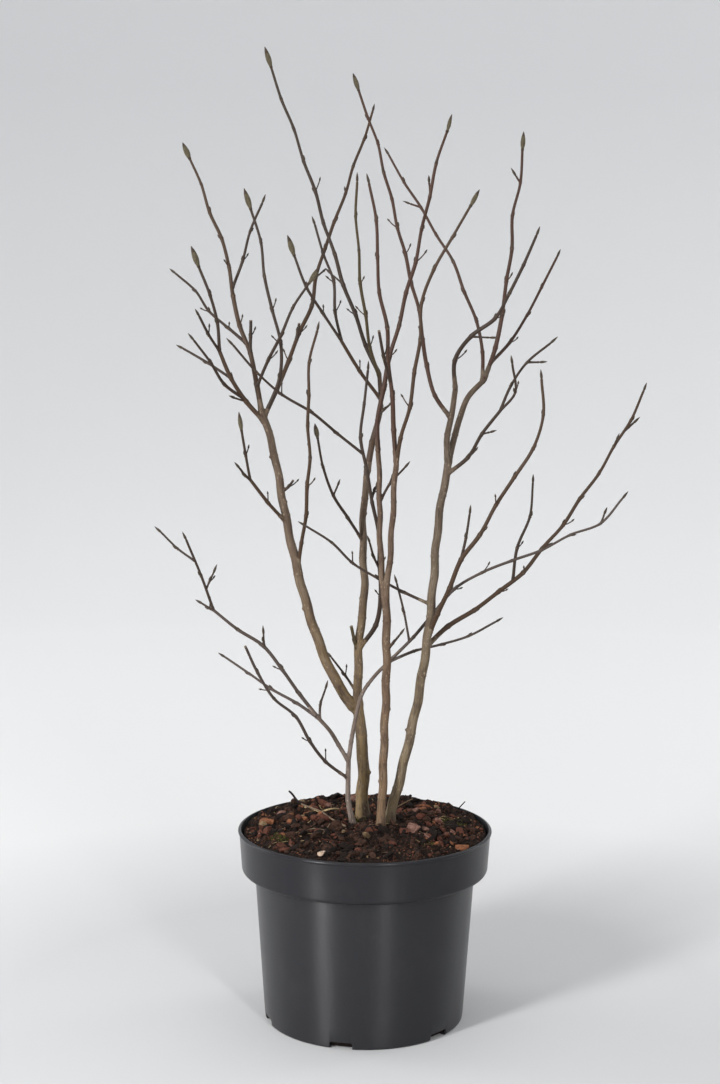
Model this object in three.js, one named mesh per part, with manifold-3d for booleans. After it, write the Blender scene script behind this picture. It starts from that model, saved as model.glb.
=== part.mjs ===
// A young magnolia shrub in winter, bare of leaves, standing in a round nursery pot.
// Units are millimetres, +Z is up. The origin is the middle of the pot's flat underside.
// The front of the plant faces -Y; leans are degrees from upright, + towards +X,
// and backs are degrees from upright, + towards +Y, given at even places along a limb.

import * as THREE from 'three';
import { mergeVertices } from 'three/addons/utils/BufferGeometryUtils.js';
import Module from 'manifold-3d';

const wasm = await Module();
wasm.setup();

// Clearances and facets
const CLEAR = 0.3;            // gap between neighbouring solids
const ROUND_SIDES = 48;       // facets round the pot and its filling
const STEM_SIDES = 8;
const BOUGH_SIDES = 6;
const TWIG_SIDES = 4;

// Pot: a ten litre container with a stepped-out collar
const POT_HEIGHT = 215;
const RIM_RADIUS = 141;
const COLLAR_RADIUS = 137;    // at the collar's lower edge
const COLLAR_HEIGHT = 47;
const COLLAR_ROUNDING = 5;
const NECK_RADIUS = 122.5;    // body just under the collar
const NECK_BEVEL = 2;         // where the body turns out into the collar's ledge
const NECK_DROP = 3;          // how far below the ledge the body's inside starts to turn out
const FOOT_RADIUS = 111;
const FOOT_ROUNDING = 3;
const WALL = 1.8;
const FLOOR = 2.4;
const LIP = 1.4;              // how far the rolled rim stands out
const LIP_HEIGHT = 4;
const LIP_BEVEL = 1;
const DRAIN_COUNT = 6;
const DRAIN_WIDTH = 25;
const DRAIN_HEIGHT = 8;
const DRAIN_DEPTH = 10;       // how far a drain notch reaches in under the pot
const DRAIN_TURN = -11.7;     // degrees of the front notch from -Y

// Potting mix: level with the rim at the stems, falling a little to the wall
const MIX_TOP = 220;
const MIX_FLAT_RADIUS = 46;
const MIX_SHOULDER_RADIUS = 100;
const MIX_SHOULDER_TOP = 215.5;
const MIX_EDGE_TOP = 210;
const MIX_GAP = 0.4;          // between the filling and the pot

// Wood
const TWIG_STEP = 36;         // length of one internode
const BOUGH_STEP = 24;
const KINK = 3;               // degrees a limb turns to and fro at its nodes
const FLARE = 1.55;           // width of a stem's foot over its own width
const FLARE_HEIGHT = 16;
const FLARE_KNEE = 0.35;      // share of the flare's height where it has mostly narrowed
const FLARE_KNEE_WIDTH = 0.3; // share of the flare's extra width left there
const GOLDEN_TURN = 137.5;    // degrees from one side bud to the next round a twig

// Buds
const BUD_LONG = 23;          // downy flower bud at a shoot's tip
const BUD_THICK = 6.4;
const LEAF_BUD_LONG = 11;     // slim bud at a twig's or spur's tip
const LEAF_BUD_THICK = 3.2;
const SIDE_BUD_LONG = 7;
const SIDE_BUD_THICK = 3.2;
const SIDE_BUD_SPREAD = 28;   // degrees from its twig
// Places along a bud, and its radius there over its thickness
const BUD_SHAPE = [[0.08, 0.34], [0.4, 0.5], [0.74, 0.36], [1, 0]];

// Spurs, the short side shoots of a twig
const SPUR_SHARE = 0.14;      // of a twig's nodes
const SPUR_SHORT = 5;
const SPUR_LONG = 18;
const SPUR_THICK = 2.2;
const SPUR_SPREAD = 40;       // degrees from its twig
const BARE_FOOT = 0.16;       // share of a twig below its first side bud
const BARE_TIP = 0.06;
const SPUR_CLEARANCE = 2.5;   // from any other limb

// The seeded rule's random numbers
const SEED_STEP = 7919;       // between the first states of two masses
const RANDOM_FACTOR = 16807;
const RANDOM_PRIME = 2147483647;

// Stems, each from its flat cut on the potting mix: foot = place of the cut
const STEMS = {
  stem_main: {
    foot: [-3, 28], long: 122, lean: [0, 2, -6, -4], back: [-2], thick: [14.4, 12.4],
  },
  stem_low: {
    foot: [-14, 1], long: 72, lean: [-10, -4, 8], back: [-2], thick: [6.4, 5.4],
  },
  stem_centre: {
    foot: [18, -13], long: 258, lean: [4, 1, 2, 0, -2], back: [-4], thick: [9.6, 9],
  },
  stem_right: {
    foot: [27, 5], long: 410, lean: [14, 12, 7, 3, 12], back: [-7, -4, 2], thick: [11.4, 8.4],
  },
};

// Boughs, each one tapering limb: on = the limb that carries it, at = how far along that limb
const BOUGHS = {
  bough_left: {
    on: 'stem_main', at: 0.985, long: 356, lean: [-40, -22, -15, -12, -9, -20],
    back: [-4, -4, 2], thick: [12.4, 8],
  },
  bough_middle: {
    on: 'stem_main', at: 1, long: 264, lean: [0, 0, 8, -4, 1, 8], back: [4, 7], thick: [10.6, 7.4],
  },
  bough_centre_left: {
    on: 'stem_centre', at: 1, long: 158, lean: [-8, -1, -2], back: [4, 8], thick: [7, 5.6],
  },
  bough_centre_right: {
    on: 'stem_centre', at: 0.985, long: 154, lean: [7, 3, 3], back: [-12, -6], thick: [7.2, 6],
  },
  bough_right: {
    on: 'stem_right', at: 0.99, long: 106, lean: [19, 10, 26, 48], back: [8, 14], thick: [7.4, 6],
  },
  bough_right_inner: {
    on: 'stem_right', at: 1, long: 82, lean: [-4, 7, 12], back: [-14, -10], thick: [7.2, 6],
  },
  bough_low: {
    on: 'stem_low', at: 1, long: 125, lean: [13, 7, 29, 57], back: [0, 10], thick: [5.2, 4],
  },
  bough_low_left: {
    on: 'stem_low', at: 0.97, long: 64, lean: [-24, -40], back: [-12], thick: [5, 4.4],
  },
};

// Crown masses: the first limb of each is the stem that meets a bough or a stem. The others
// grow on limbs of the same mass. A limb ends in a slim leaf bud, a flower bud or a blunt cut.
const MASSES = {
  twigs_left_outer: {
    outer: {
      on: 'bough_left', at: 0.97, long: 96, lean: [-40, -34, -11], back: [-18], thick: [5.6, 4], end: 'cut',
    },
    outer_up: {
      on: 'outer', at: 1, long: 96, lean: [9, -8, -24, -12],
      back: [-22, -10], thick: [3.8, 2.8], end: 'flower',
    },
    outer_short: { on: 'outer', at: 1, long: 50, lean: [-33, -20], back: [-34], thick: [3.2, 2.6] },
    outer_low: {
      on: 'outer', at: 0.36, long: 92, lean: [-60, -36, -28, -36], back: [-32, -22], thick: [3.6, 2.6],
    },
    outer_back: {
      on: 'outer', at: 0.66, long: 74, lean: [-58, -64], back: [32, 28], thick: [3.2, 2.4],
    },
  },
  twigs_left_upper: {
    upper: {
      on: 'bough_left', at: 1, long: 314, lean: [-5, -16, -22, -7, -25, -21, -24],
      back: [16, 20, 18], thick: [5.8, 2.8], end: 'flower',
    },
    upper_inner: {
      on: 'upper', at: 0.47, long: 100, lean: [30, 12, 33], back: [-8, 4], thick: [3.4, 2.6],
    },
    upper_outer: {
      on: 'upper', at: 0.26, long: 140, lean: [-45, -58, -31, -68], back: [36, 30], thick: [3.6, 2.4],
    },
    upper_stub: {
      on: 'upper', at: 0.222, long: 36, lean: [2], back: [-10], thick: [4, 3.4], end: 'cut',
    },
    upper_front: {
      on: 'upper', at: 0.1, long: 136, lean: [28, 25, 34],
      back: [-24, -18], thick: [3.8, 2.8], end: 'flower',
    },
  },
  twigs_left_inner: {
    inner: {
      on: 'bough_left', at: 0.985, long: 395, lean: [31, 18, 25, 7, 21, 17, 18, 19],
      back: [22, 24, 20], thick: [5.2, 2.8],
    },
    inner_up: {
      on: 'inner', at: 0.03, long: 223, lean: [47, 1, -3, -20, -12, 5, -46],
      back: [-10, 0, 8], thick: [4, 2.8], end: 'flower',
    },
    inner_stub: {
      on: 'inner', at: 0.25, long: 19, lean: [10], back: [-10], thick: [3.4, 3], end: 'cut',
    },
  },
  twigs_left_straight: {
    straight: {
      on: 'bough_left', at: 0.5, long: 282, lean: [14, 7, 5, -2, 3, 16],
      back: [-26, -12], thick: [4.4, 2.8],
    },
  },
  twigs_left_side: {
    side: {
      on: 'bough_left', at: 0.65, long: 70, lean: [-34, -45, -25],
      back: [-28, -20], thick: [4.2, 3.4], end: 'cut',
    },
    side_up: {
      on: 'side', at: 1, long: 56, lean: [-9, -8], back: [-14], thick: [3.2, 2.6], end: 'flower',
    },
    side_out: { on: 'side', at: 0.98, long: 20, lean: [-50, -28], back: [-30], thick: [2.8, 2.4] },
  },
  twigs_middle_top: {
    middle: {
      on: 'bough_middle', at: 1, long: 116, lean: [10, 15, 5, -4],
      back: [6, 10], thick: [7.2, 5], end: 'cut',
    },
    topmost: {
      on: 'middle', at: 1, long: 358, lean: [-24, -20, -17, -20, -21],
      back: [3, -3], thick: [4.8, 2.8], end: 'flower',
    },
    top_front: {
      on: 'middle', at: 0.97, long: 222, lean: [-17, -8, -4, 1], back: [-20, -12], thick: [4, 2.6],
    },
    pair: {
      on: 'middle', at: 0.76, long: 86, lean: [-30, -42, -20],
      back: [-30, -20], thick: [4.4, 3.6], end: 'cut',
    },
    pair_outer: {
      on: 'pair', at: 1, long: 108, lean: [-25, -36, -34, -2],
      back: [-22, -8], thick: [3.4, 2.8], end: 'flower',
    },
    pair_inner: {
      on: 'pair', at: 0.98, long: 132, lean: [-14, -4, -20, -20], back: [2, 12], thick: [3.4, 2.6],
    },
  },
  twigs_middle_side: {
    beside: {
      on: 'bough_middle', at: 0.26, long: 326, lean: [52, 6, -2, -9, -14, 3, 12],
      back: [-18, -12, -4, 0], thick: [5.4, 2.8],
    },
    beside_small: {
      on: 'beside', at: 0.32, long: 38, lean: [-28, -10], back: [-30], thick: [2.8, 2.4],
    },
    beside_right: { on: 'beside', at: 0.57, long: 16, lean: [22], back: [36], thick: [2.8, 2.4] },
    long_left: {
      on: 'beside', at: 0.72, long: 189, lean: [-46, -50, -55, -56, -44, -30],
      back: [-14, -20], thick: [3.4, 2.4],
    },
  },
  twigs_middle_small: {
    small: {
      on: 'bough_middle', at: 0.72, long: 152, lean: [-22, -36, -12, -12],
      back: [-34, -26], thick: [3.6, 2.6], end: 'flower',
    },
  },
  twig_left_spur: {
    left_spur: {
      on: 'bough_left', at: 0.75, long: 20, lean: [64, 28], back: [-14], thick: [3, 2.6], end: 'cut',
    },
  },
  twig_middle_stub: {
    stub: {
      on: 'bough_middle', at: 0.235, long: 36, lean: [-16, -10], back: [-12], thick: [4, 3.4], end: 'cut',
    },
  },
  twig_low_spur: {
    low_spur: {
      on: 'bough_low_left', at: 0.94, long: 34, lean: [-6, 26], back: [18], thick: [2.8, 2.2],
    },
  },
  twig_centre_low: {
    centre_low: { on: 'stem_centre', at: 0.775, long: 24, lean: [37], back: [-16], thick: [3, 2.4] },
  },
  twig_middle_low: {
    low: { on: 'bough_middle', at: 0.07, long: 52, lean: [-35, -43], back: [24], thick: [3, 2.4] },
  },
  twigs_centre_tall: {
    tall: {
      on: 'bough_centre_left', at: 1, long: 354, lean: [-1, 13, 15, 11, 17],
      back: [0, -14, -20], thick: [5.4, 2.8], end: 'flower',
    },
    tall_bit: { on: 'tall', at: 0.12, long: 14, lean: [48], back: [-10], thick: [2.8, 2.4] },
  },
  twigs_centre_front: {
    front: {
      on: 'bough_centre_right', at: 1, long: 298, lean: [0, -6, -3, -12, 2, -22],
      back: [-8, -16, -8], thick: [5.2, 2.8],
    },
    front_stub: {
      on: 'front', at: 0.3, long: 66, lean: [-22, -8, -13], back: [-34], thick: [3.6, 3], end: 'cut',
    },
  },
  twigs_centre_arching: {
    arching: {
      on: 'bough_centre_right', at: 0.96, long: 300, lean: [10, 13, 7, 4, 33, 24],
      back: [-24, -14, -18], thick: [4.4, 2.8], end: 'flower',
    },
  },
  twig_centre_side: {
    centre_side: {
      on: 'bough_centre_left', at: 0.66, long: 48, lean: [22, 50], back: [20], thick: [3, 2.4],
    },
  },
  twigs_right_tall: {
    right_tall: {
      on: 'bough_right_inner', at: 0.62, long: 418, lean: [-40, -6, -15, -14, -15, -24],
      back: [30, 24, 18], thick: [4.8, 2.8], end: 'flower',
    },
  },
  twigs_right_inner: {
    right_inner: {
      on: 'bough_right_inner', at: 1, long: 199, lean: [-12, 20, 58, 22, 30, 11],
      back: [-18, -26, -16], thick: [5, 2.8],
    },
  },
  twigs_right_upper: {
    right_upper: {
      on: 'bough_right', at: 1, long: 262, lean: [30, 8, 11, 2, 11, 4],
      back: [10, 16, 10], thick: [5, 2.8], end: 'flower',
    },
    right_upper_side: {
      on: 'right_upper', at: 0.07, long: 160, lean: [58, 30, 32, 20], back: [34, 22], thick: [3.6, 2.6],
    },
  },
  twigs_right_crossing: {
    crossing: {
      on: 'bough_right', at: 0.97, long: 292, lean: [16, -12, -19, -23, -30, -33, -30, -34],
      back: [28, 14, 22], thick: [4, 2.6],
    },
  },
  twigs_right_side: {
    right_side: {
      on: 'stem_right', at: 0.97, long: 99, lean: [75, 28, 22, 56],
      back: [-26, -22], thick: [4.4, 3.4], end: 'cut',
    },
    right_side_out: {
      on: 'right_side', at: 1, long: 91, lean: [22, 30, 64], back: [-20, -8], thick: [3.2, 2.4],
    },
    right_side_up: {
      on: 'right_side', at: 0.98, long: 62, lean: [60, 12, -28], back: [-34, -16], thick: [3, 2.4],
    },
  },
  twigs_right_long: {
    long_right: {
      on: 'stem_right', at: 0.505, long: 392, lean: [51, 61, 43, 36, 32, 25],
      back: [26, 14, 8], thick: [5.4, 2.8],
    },
    long_right_up: {
      on: 'long_right', at: 0.325, long: 119, lean: [0, 24, 16, 2], back: [26, 20], thick: [3.6, 2.6],
    },
    long_right_bit: { on: 'long_right', at: 0.87, long: 14, lean: [50], back: [10], thick: [2.8, 2.4] },
  },
  twigs_right_front: {
    right_front: {
      on: 'stem_right', at: 0.525, long: 329, lean: [26, 18, 23, 34, 25, 36, 7, -6],
      back: [-30, -14, -6], thick: [5.8, 2.8],
    },
    right_front_side: {
      on: 'right_front', at: 0.33, long: 50, lean: [14, 6], back: [-2], thick: [3.2, 2.6],
    },
  },
  twigs_right_low: {
    right_low: {
      on: 'bough_low', at: 1, long: 318, lean: [54, 36, 47, 70, 63, 64, 31],
      back: [6, -6, -10], thick: [3.8, 2.4],
    },
    low_inner: {
      on: 'right_low', at: 0.09, long: 66, lean: [-9, -12, -14, -17], back: [22, 8], thick: [2.8, 2.2],
    },
  },
  twigs_right_lowest: {
    lowest: {
      on: 'bough_low', at: 0.97, long: 137, lean: [79, 71, 81, 78, 43], back: [30, 14], thick: [3.4, 2.4],
    },
  },
  twig_crossing: {
    across: {
      on: 'stem_right', at: 0.62, long: 162, lean: [-60, -67, -56, -46, -60],
      back: [0, -2, -6], thick: [3.2, 2.4],
    },
  },
  twigs_low_outer: {
    low_outer: {
      on: 'bough_low_left', at: 1, long: 167, lean: [-20, -48, -26, -45, -74, -24],
      back: [-8, 2], thick: [4.2, 3.4], end: 'cut',
    },
    low_outer_up: {
      on: 'low_outer', at: 1, long: 85, lean: [-17, -18, -20, -22], back: [-12], thick: [3.2, 2.6],
    },
    low_outer_tip: {
      on: 'low_outer_up', at: 0.7, long: 50, lean: [-61, -44], back: [16], thick: [2.6, 2.2],
    },
    low_outer_side: { on: 'low_outer_up', at: 0.3, long: 19, lean: [24], back: [10], thick: [2.4, 2] },
    low_outer_end: { on: 'low_outer', at: 0.97, long: 22, lean: [-64], back: [30], thick: [2.6, 2.2] },
    low_outer_bit: { on: 'low_outer', at: 0.58, long: 16, lean: [-14, 4], back: [-12], thick: [2.4, 2] },
  },
  twigs_low_back: {
    low_back: {
      on: 'bough_low_left', at: 0.96, long: 142, lean: [-46, -75, -66, -53, -75],
      back: [34, 26], thick: [3.6, 2.4],
    },
  },
  twigs_low_front: {
    low_front: {
      on: 'stem_low', at: 0.7, long: 224, lean: [-47, -39, -20, -49, -17, -28],
      back: [-30, -24], thick: [3.8, 2.8], end: 'cut',
    },
  },
};

const finish = (color, roughness) => new THREE.MeshStandardMaterial({ color, roughness, metalness: 0 });
const MATERIALS = {
  pot: finish(0x3b3d43, 0.5),
  mix: finish(0x2e221b, 0.95),
  stem: finish(0x6b5f45, 0.85),
  bough: finish(0x5d4c39, 0.85),
  twig: finish(0x4a3329, 0.8),
};

const radians = THREE.MathUtils.degToRad;

// The value a fraction of the way along a short list of values at even places.
function along(values, fraction) {
  if (values.length === 1) return values[0];
  const place = Math.min(Math.max(fraction, 0), 1) * (values.length - 1);
  const low = Math.min(Math.floor(place), values.length - 2);
  return values[low] + (values[low + 1] - values[low]) * (place - low);
}

function direction(lean, back) {
  const flat = Math.cos(radians(back));
  return new THREE.Vector3(
    Math.sin(radians(lean)) * flat, Math.sin(radians(back)), Math.cos(radians(lean)) * flat);
}

// Even random numbers from 0 to 1, the same every time for one seed.
function seeded(seed) {
  let state = seed * SEED_STEP;
  return () => {
    state = (state * RANDOM_FACTOR) % RANDOM_PRIME;
    return state / RANDOM_PRIME;
  };
}

// The points of a limb from its start: one straight internode after another.
function growPoints(start, limb, step) {
  const count = Math.max(2, Math.round(limb.long / step));
  const points = [start.clone()];
  for (let i = 0; i < count; i += 1) {
    const middle = (i + 0.5) / count;
    const turn = count > 2 ? (i % 2 ? KINK : -KINK) : 0;
    const way = direction(along(limb.lean, middle) + turn, along(limb.back, middle) - turn);
    points.push(points[i].clone().addScaledVector(way, limb.long / count));
  }
  return points;
}

const grown = {};             // limb name -> its points, radii and node

function pointOn(limb, fraction) {
  const place = fraction * (limb.points.length - 1);
  const low = Math.min(Math.floor(place), limb.points.length - 2);
  return limb.points[low].clone().lerp(limb.points[low + 1], place - low);
}

function growLimb(name, limb, node, start, step) {
  const points = growPoints(start, limb, step);
  const radii = points.map((point, i) => along(limb.thick, i / (points.length - 1)) / 2);
  grown[name] = { name, node, points, radii, end: limb.end };
  return grown[name];
}

// A closed tube through points: each ring stands square to the limb there. A polygon is drawn
// a little wide of its circle, so that it holds the same wood. A radius of 0 makes a point.
function tube(points, radii, sides, levelFoot = false) {
  const widen = Math.sqrt((2 * Math.PI / sides) / Math.sin(2 * Math.PI / sides));
  const positions = [];
  const faces = [];
  const rings = [];
  const side = new THREE.Vector3(1, 0, 0);
  points.forEach((point, i) => {
    const before = points[Math.max(i - 1, 0)];
    const after = points[Math.min(i + 1, points.length - 1)];
    const way = after.clone().sub(before).normalize();
    if (i === 0 && levelFoot) way.set(0, 0, 1);
    side.addScaledVector(way, -side.dot(way)).normalize();
    const other = way.clone().cross(side);
    const ring = [];
    const corners = radii[i] > 0 ? sides : 1;
    for (let j = 0; j < corners; j += 1) {
      const turn = (2 * Math.PI * j) / sides;
      const corner = point.clone()
        .addScaledVector(side, radii[i] * widen * Math.cos(turn))
        .addScaledVector(other, radii[i] * widen * Math.sin(turn));
      ring.push(positions.length / 3);
      positions.push(corner.x, corner.y, corner.z);
    }
    rings.push(ring);
  });
  for (let i = 0; i + 1 < rings.length; i += 1) {
    const [low, high] = [rings[i], rings[i + 1]];
    for (let j = 0; j < sides; j += 1) {
      const next = (j + 1) % sides;
      if (low.length > 1) faces.push(low[j], low[next], high[high.length > 1 ? next : 0]);
      if (high.length > 1) faces.push(low[low.length > 1 ? j : 0], high[next], high[j]);
    }
  }
  const cap = (ring, flip) => {
    for (let j = 1; j + 1 < ring.length; j += 1) {
      faces.push(ring[0], ring[flip ? j + 1 : j], ring[flip ? j : j + 1]);
    }
  };
  cap(rings[0], true);
  cap(rings[rings.length - 1], false);
  return new wasm.Manifold(new wasm.Mesh({
    numProp: 3, vertProperties: new Float32Array(positions), triVerts: new Uint32Array(faces),
  }));
}

// The rings that a bud adds beyond a tip: a narrow base, its fullest place, and its point.
function budRings(tip, way, long, thick) {
  return {
    points: BUD_SHAPE.map(([place]) => tip.clone().addScaledVector(way, long * place)),
    radii: BUD_SHAPE.map(([, share]) => thick * share),
  };
}

function withEnd(limb, swell) {
  const points = limb.points.map((point) => point.clone());
  const radii = limb.radii.map((radius) => radius + swell);
  const last = points.length - 1;
  const way = points[last].clone().sub(points[last - 1]).normalize();
  if (swell > 0) {
    points[0].addScaledVector(points[1].clone().sub(points[0]).normalize(), -swell);
    points[last].addScaledVector(way, swell);
  } else if (limb.end !== 'cut') {
    const isFlower = limb.end === 'flower';
    const [long, thick] = isFlower ? [BUD_LONG, BUD_THICK] : [LEAF_BUD_LONG, LEAF_BUD_THICK];
    const bud = budRings(points[last], way, long, thick);
    points.push(...bud.points);
    radii.push(...bud.radii);
  }
  return { points, radii };
}

function limbSolid(limb, sides, swell) {
  const { points, radii } = withEnd(limb, swell);
  return tube(points, radii, sides);
}

// A stem's foot widens to its flat cut.
function stemSolid(limb, swell) {
  const points = limb.points.map((point) => point.clone());
  const radii = limb.radii.map((radius) => radius + swell);
  const way = points[1].clone().sub(points[0]).normalize();
  const flareTop = points[0].clone().addScaledVector(way, FLARE_HEIGHT);
  const flareKnee = points[0].clone().addScaledVector(way, FLARE_HEIGHT * FLARE_KNEE);
  const last = points.length - 1;
  const tipWay = points[last].clone().sub(points[last - 1]).normalize();
  if (swell > 0) points[last].addScaledVector(tipWay, swell);
  points.splice(1, 0, flareKnee, flareTop);
  radii.splice(1, 0, radii[0] * (1 + (FLARE - 1) * FLARE_KNEE_WIDTH), radii[0]);
  radii[0] *= FLARE;
  return tube(points, radii, STEM_SIDES, true);
}

function nearest(point, a, b) {
  const line = new THREE.Line3(a, b);
  return line.closestPointToPoint(point, true, new THREE.Vector3()).distanceTo(point);
}

// Whether a short shoot from root to tip keeps clear of every limb but its own.
function isClear(root, tip, own) {
  const samples = [0.5, 1].map((share) => root.clone().lerp(tip, share));
  return Object.values(grown).every((limb) => limb === own || samples.every((sample) => (
    limb.points.slice(1).every((point, i) => (
      nearest(sample, limb.points[i], point) > limb.radii[i] + SPUR_CLEARANCE)))));
}

// Side buds and spurs of one twig, turning round it from node to node by the seeded rule.
function sideShoots(limb, draw) {
  const shoots = [];
  const last = limb.points.length - 1;
  const nodes = limb.points.slice(1, last).map((point, i) => i + 1);
  nodes.forEach((i) => {
    const kind = draw();
    const size = draw();
    const share = i / last;
    if (share < BARE_FOOT || share > 1 - BARE_TIP) return;
    const way = limb.points[i + 1].clone().sub(limb.points[i]).normalize();
    const out = new THREE.Vector3(0, 1, 0).addScaledVector(way, -way.y).normalize()
      .applyAxisAngle(way, radians(GOLDEN_TURN * i));
    const isSpur = kind < SPUR_SHARE;
    const spread = radians(isSpur ? SPUR_SPREAD : SIDE_BUD_SPREAD);
    const aim = way.clone().multiplyScalar(Math.cos(spread)).addScaledVector(out, Math.sin(spread));
    const root = limb.points[i];
    const long = isSpur ? SPUR_SHORT + (SPUR_LONG - SPUR_SHORT) * size : SIDE_BUD_LONG;
    const tip = root.clone().addScaledVector(aim, limb.radii[i] + long);
    if (!isClear(root, tip.clone().addScaledVector(aim, isSpur ? LEAF_BUD_LONG : 0), limb)) return;
    if (isSpur) {
      const bud = budRings(tip, aim, LEAF_BUD_LONG, LEAF_BUD_THICK);
      const radii = [SPUR_THICK / 2, SPUR_THICK / 2, ...bud.radii];
      shoots.push(tube([root, tip, ...bud.points], radii, TWIG_SIDES));
    } else {
      const belly = root.clone().lerp(tip, 0.5);
      shoots.push(tube([root, belly, tip], [0, SIDE_BUD_THICK / 2, 0], TWIG_SIDES));
    }
  });
  return shoots;
}

// Keeps the largest body of a solid, so that no loose scrap stays where it was cut.
function largest(solid) {
  return solid.decompose().reduce((best, body) => (body.volume() > best.volume() ? body : best));
}

function meshOf(name, solid, material) {
  const { vertProperties, triVerts } = solid.getMesh();
  const geometry = new THREE.BufferGeometry();
  geometry.setAttribute('position', new THREE.BufferAttribute(vertProperties, 3));
  geometry.setIndex(new THREE.BufferAttribute(triVerts, 1));
  const mesh = new THREE.Mesh(geometry, material);
  mesh.name = name;
  return mesh;
}

function solidOf(geometry) {
  geometry.deleteAttribute('normal');
  geometry.deleteAttribute('uv');
  const merged = mergeVertices(geometry);
  return new wasm.Manifold(new wasm.Mesh({
    numProp: 3,
    vertProperties: new Float32Array(merged.attributes.position.array),
    triVerts: new Uint32Array(merged.index.array),
  }));
}

// A closed profile of [radius, height] turned about the upright axis.
function turned(profile) {
  const points = profile.map(([radius, height]) => new THREE.Vector2(radius, height));
  const geometry = new THREE.LatheGeometry(points, ROUND_SIDES);
  geometry.rotateX(Math.PI / 2);
  return solidOf(geometry);
}

// The body's outer radius at a height: a plain taper from the foot to under the collar.
const COLLAR_FOOT = POT_HEIGHT - COLLAR_HEIGHT;
const bodyRadius = (height) => FOOT_RADIUS + (NECK_RADIUS - FOOT_RADIUS) * (height / COLLAR_FOOT);

// The pot's inner wall from its floor up, moved in by a gap.
const innerWall = (gap) => [
  [bodyRadius(FLOOR) - WALL - gap, FLOOR + gap],
  [bodyRadius(COLLAR_FOOT) - WALL - gap, COLLAR_FOOT - NECK_DROP],
  [NECK_RADIUS - gap, COLLAR_FOOT + WALL + gap],
  [COLLAR_RADIUS - COLLAR_ROUNDING - gap, COLLAR_FOOT + WALL + gap],
  [COLLAR_RADIUS - WALL - gap, COLLAR_FOOT + COLLAR_ROUNDING + WALL + gap],
];

function potSolid() {
  const corner = COLLAR_ROUNDING * (1 - Math.SQRT1_2);
  const outer = [
    [0, 0],
    [FOOT_RADIUS - FOOT_ROUNDING, 0],
    [bodyRadius(FOOT_ROUNDING), FOOT_ROUNDING],
    [bodyRadius(COLLAR_FOOT - NECK_BEVEL), COLLAR_FOOT - NECK_BEVEL],
    [NECK_RADIUS + NECK_BEVEL, COLLAR_FOOT],
    [COLLAR_RADIUS - COLLAR_ROUNDING, COLLAR_FOOT],
    [COLLAR_RADIUS - corner, COLLAR_FOOT + corner],
    [COLLAR_RADIUS, COLLAR_FOOT + COLLAR_ROUNDING],
    [RIM_RADIUS - LIP, POT_HEIGHT - LIP_HEIGHT - LIP],
    [RIM_RADIUS, POT_HEIGHT - LIP_HEIGHT],
    [RIM_RADIUS, POT_HEIGHT - LIP_BEVEL],
    [RIM_RADIUS - LIP_BEVEL, POT_HEIGHT],
    [RIM_RADIUS - LIP - WALL, POT_HEIGHT],
  ];
  const notch = new THREE.BoxGeometry(DRAIN_WIDTH, DRAIN_DEPTH * 2, DRAIN_HEIGHT * 2);
  notch.translate(0, -FOOT_RADIUS, 0);
  const notches = Array.from({ length: DRAIN_COUNT }, (unused, i) => (
    solidOf(notch.clone().rotateZ(radians(DRAIN_TURN + (360 / DRAIN_COUNT) * i)))));
  return turned([...outer, ...innerWall(0).reverse(), [0, FLOOR]]).subtract(wasm.Manifold.union(notches));
}

function mixSolid() {
  return turned([
    [0, FLOOR + MIX_GAP],
    ...innerWall(MIX_GAP),
    [COLLAR_RADIUS - WALL - MIX_GAP, MIX_EDGE_TOP],
    [MIX_SHOULDER_RADIUS, MIX_SHOULDER_TOP],
    [MIX_FLAT_RADIUS, MIX_TOP],
    [0, MIX_TOP],
  ]);
}

const plant = new THREE.Group();
plant.add(meshOf('pot', potSolid(), MATERIALS.pot));
plant.add(meshOf('potting_mix', mixSolid(), MATERIALS.mix));

// Every limb is grown before any solid is made, so that side shoots can keep clear of all.
Object.entries(STEMS).forEach(([name, stem]) => {
  growLimb(name, stem, name, new THREE.Vector3(...stem.foot, MIX_TOP + CLEAR), BOUGH_STEP);
});
Object.entries(BOUGHS).forEach(([name, bough]) => {
  growLimb(name, bough, name, pointOn(grown[bough.on], bough.at), BOUGH_STEP);
});
Object.entries(MASSES).forEach(([node, limbs]) => {
  Object.entries(limbs).forEach(([name, limb]) => {
    growLimb(name, limb, node, pointOn(grown[limb.on], limb.at), TWIG_STEP);
  });
});

// Each solid is cut clear of those made before it that it meets.
const swollen = [];
function addLimb(node, solid, wide, material) {
  const box = solid.boundingBox();
  const meets = (other) => other.min.every((low, i) => low < box.max[i])
    && other.max.every((high, i) => high > box.min[i]);
  const cut = swollen.filter((other) => meets(other.boundingBox()));
  const clear = cut.length ? solid.subtract(wasm.Manifold.union(cut)) : solid;
  plant.add(meshOf(node, largest(clear), material));
  swollen.push(wide);
}

Object.keys(STEMS).forEach((name) => {
  const [solid, wide] = [0, CLEAR].map((swell) => stemSolid(grown[name], swell));
  addLimb(name, solid, wide, MATERIALS.stem);
});
Object.keys(BOUGHS).forEach((name) => {
  grown[name].end = 'cut';
  const [solid, wide] = [0, CLEAR].map((swell) => limbSolid(grown[name], BOUGH_SIDES, swell));
  addLimb(name, solid, wide, MATERIALS.bough);
});
Object.entries(MASSES).forEach(([node, limbs], massIndex) => {
  const draw = seeded(massIndex + 1);
  const names = Object.keys(limbs);
  const shoots = names.flatMap((name) => sideShoots(grown[name], draw));
  const [twigs, wide] = [0, CLEAR].map((swell) => (
    names.map((name) => limbSolid(grown[name], TWIG_SIDES, swell))));
  addLimb(node, wasm.Manifold.union([...twigs, ...shoots]), wasm.Manifold.union(wide), MATERIALS.twig);
});

export default plant;
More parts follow.
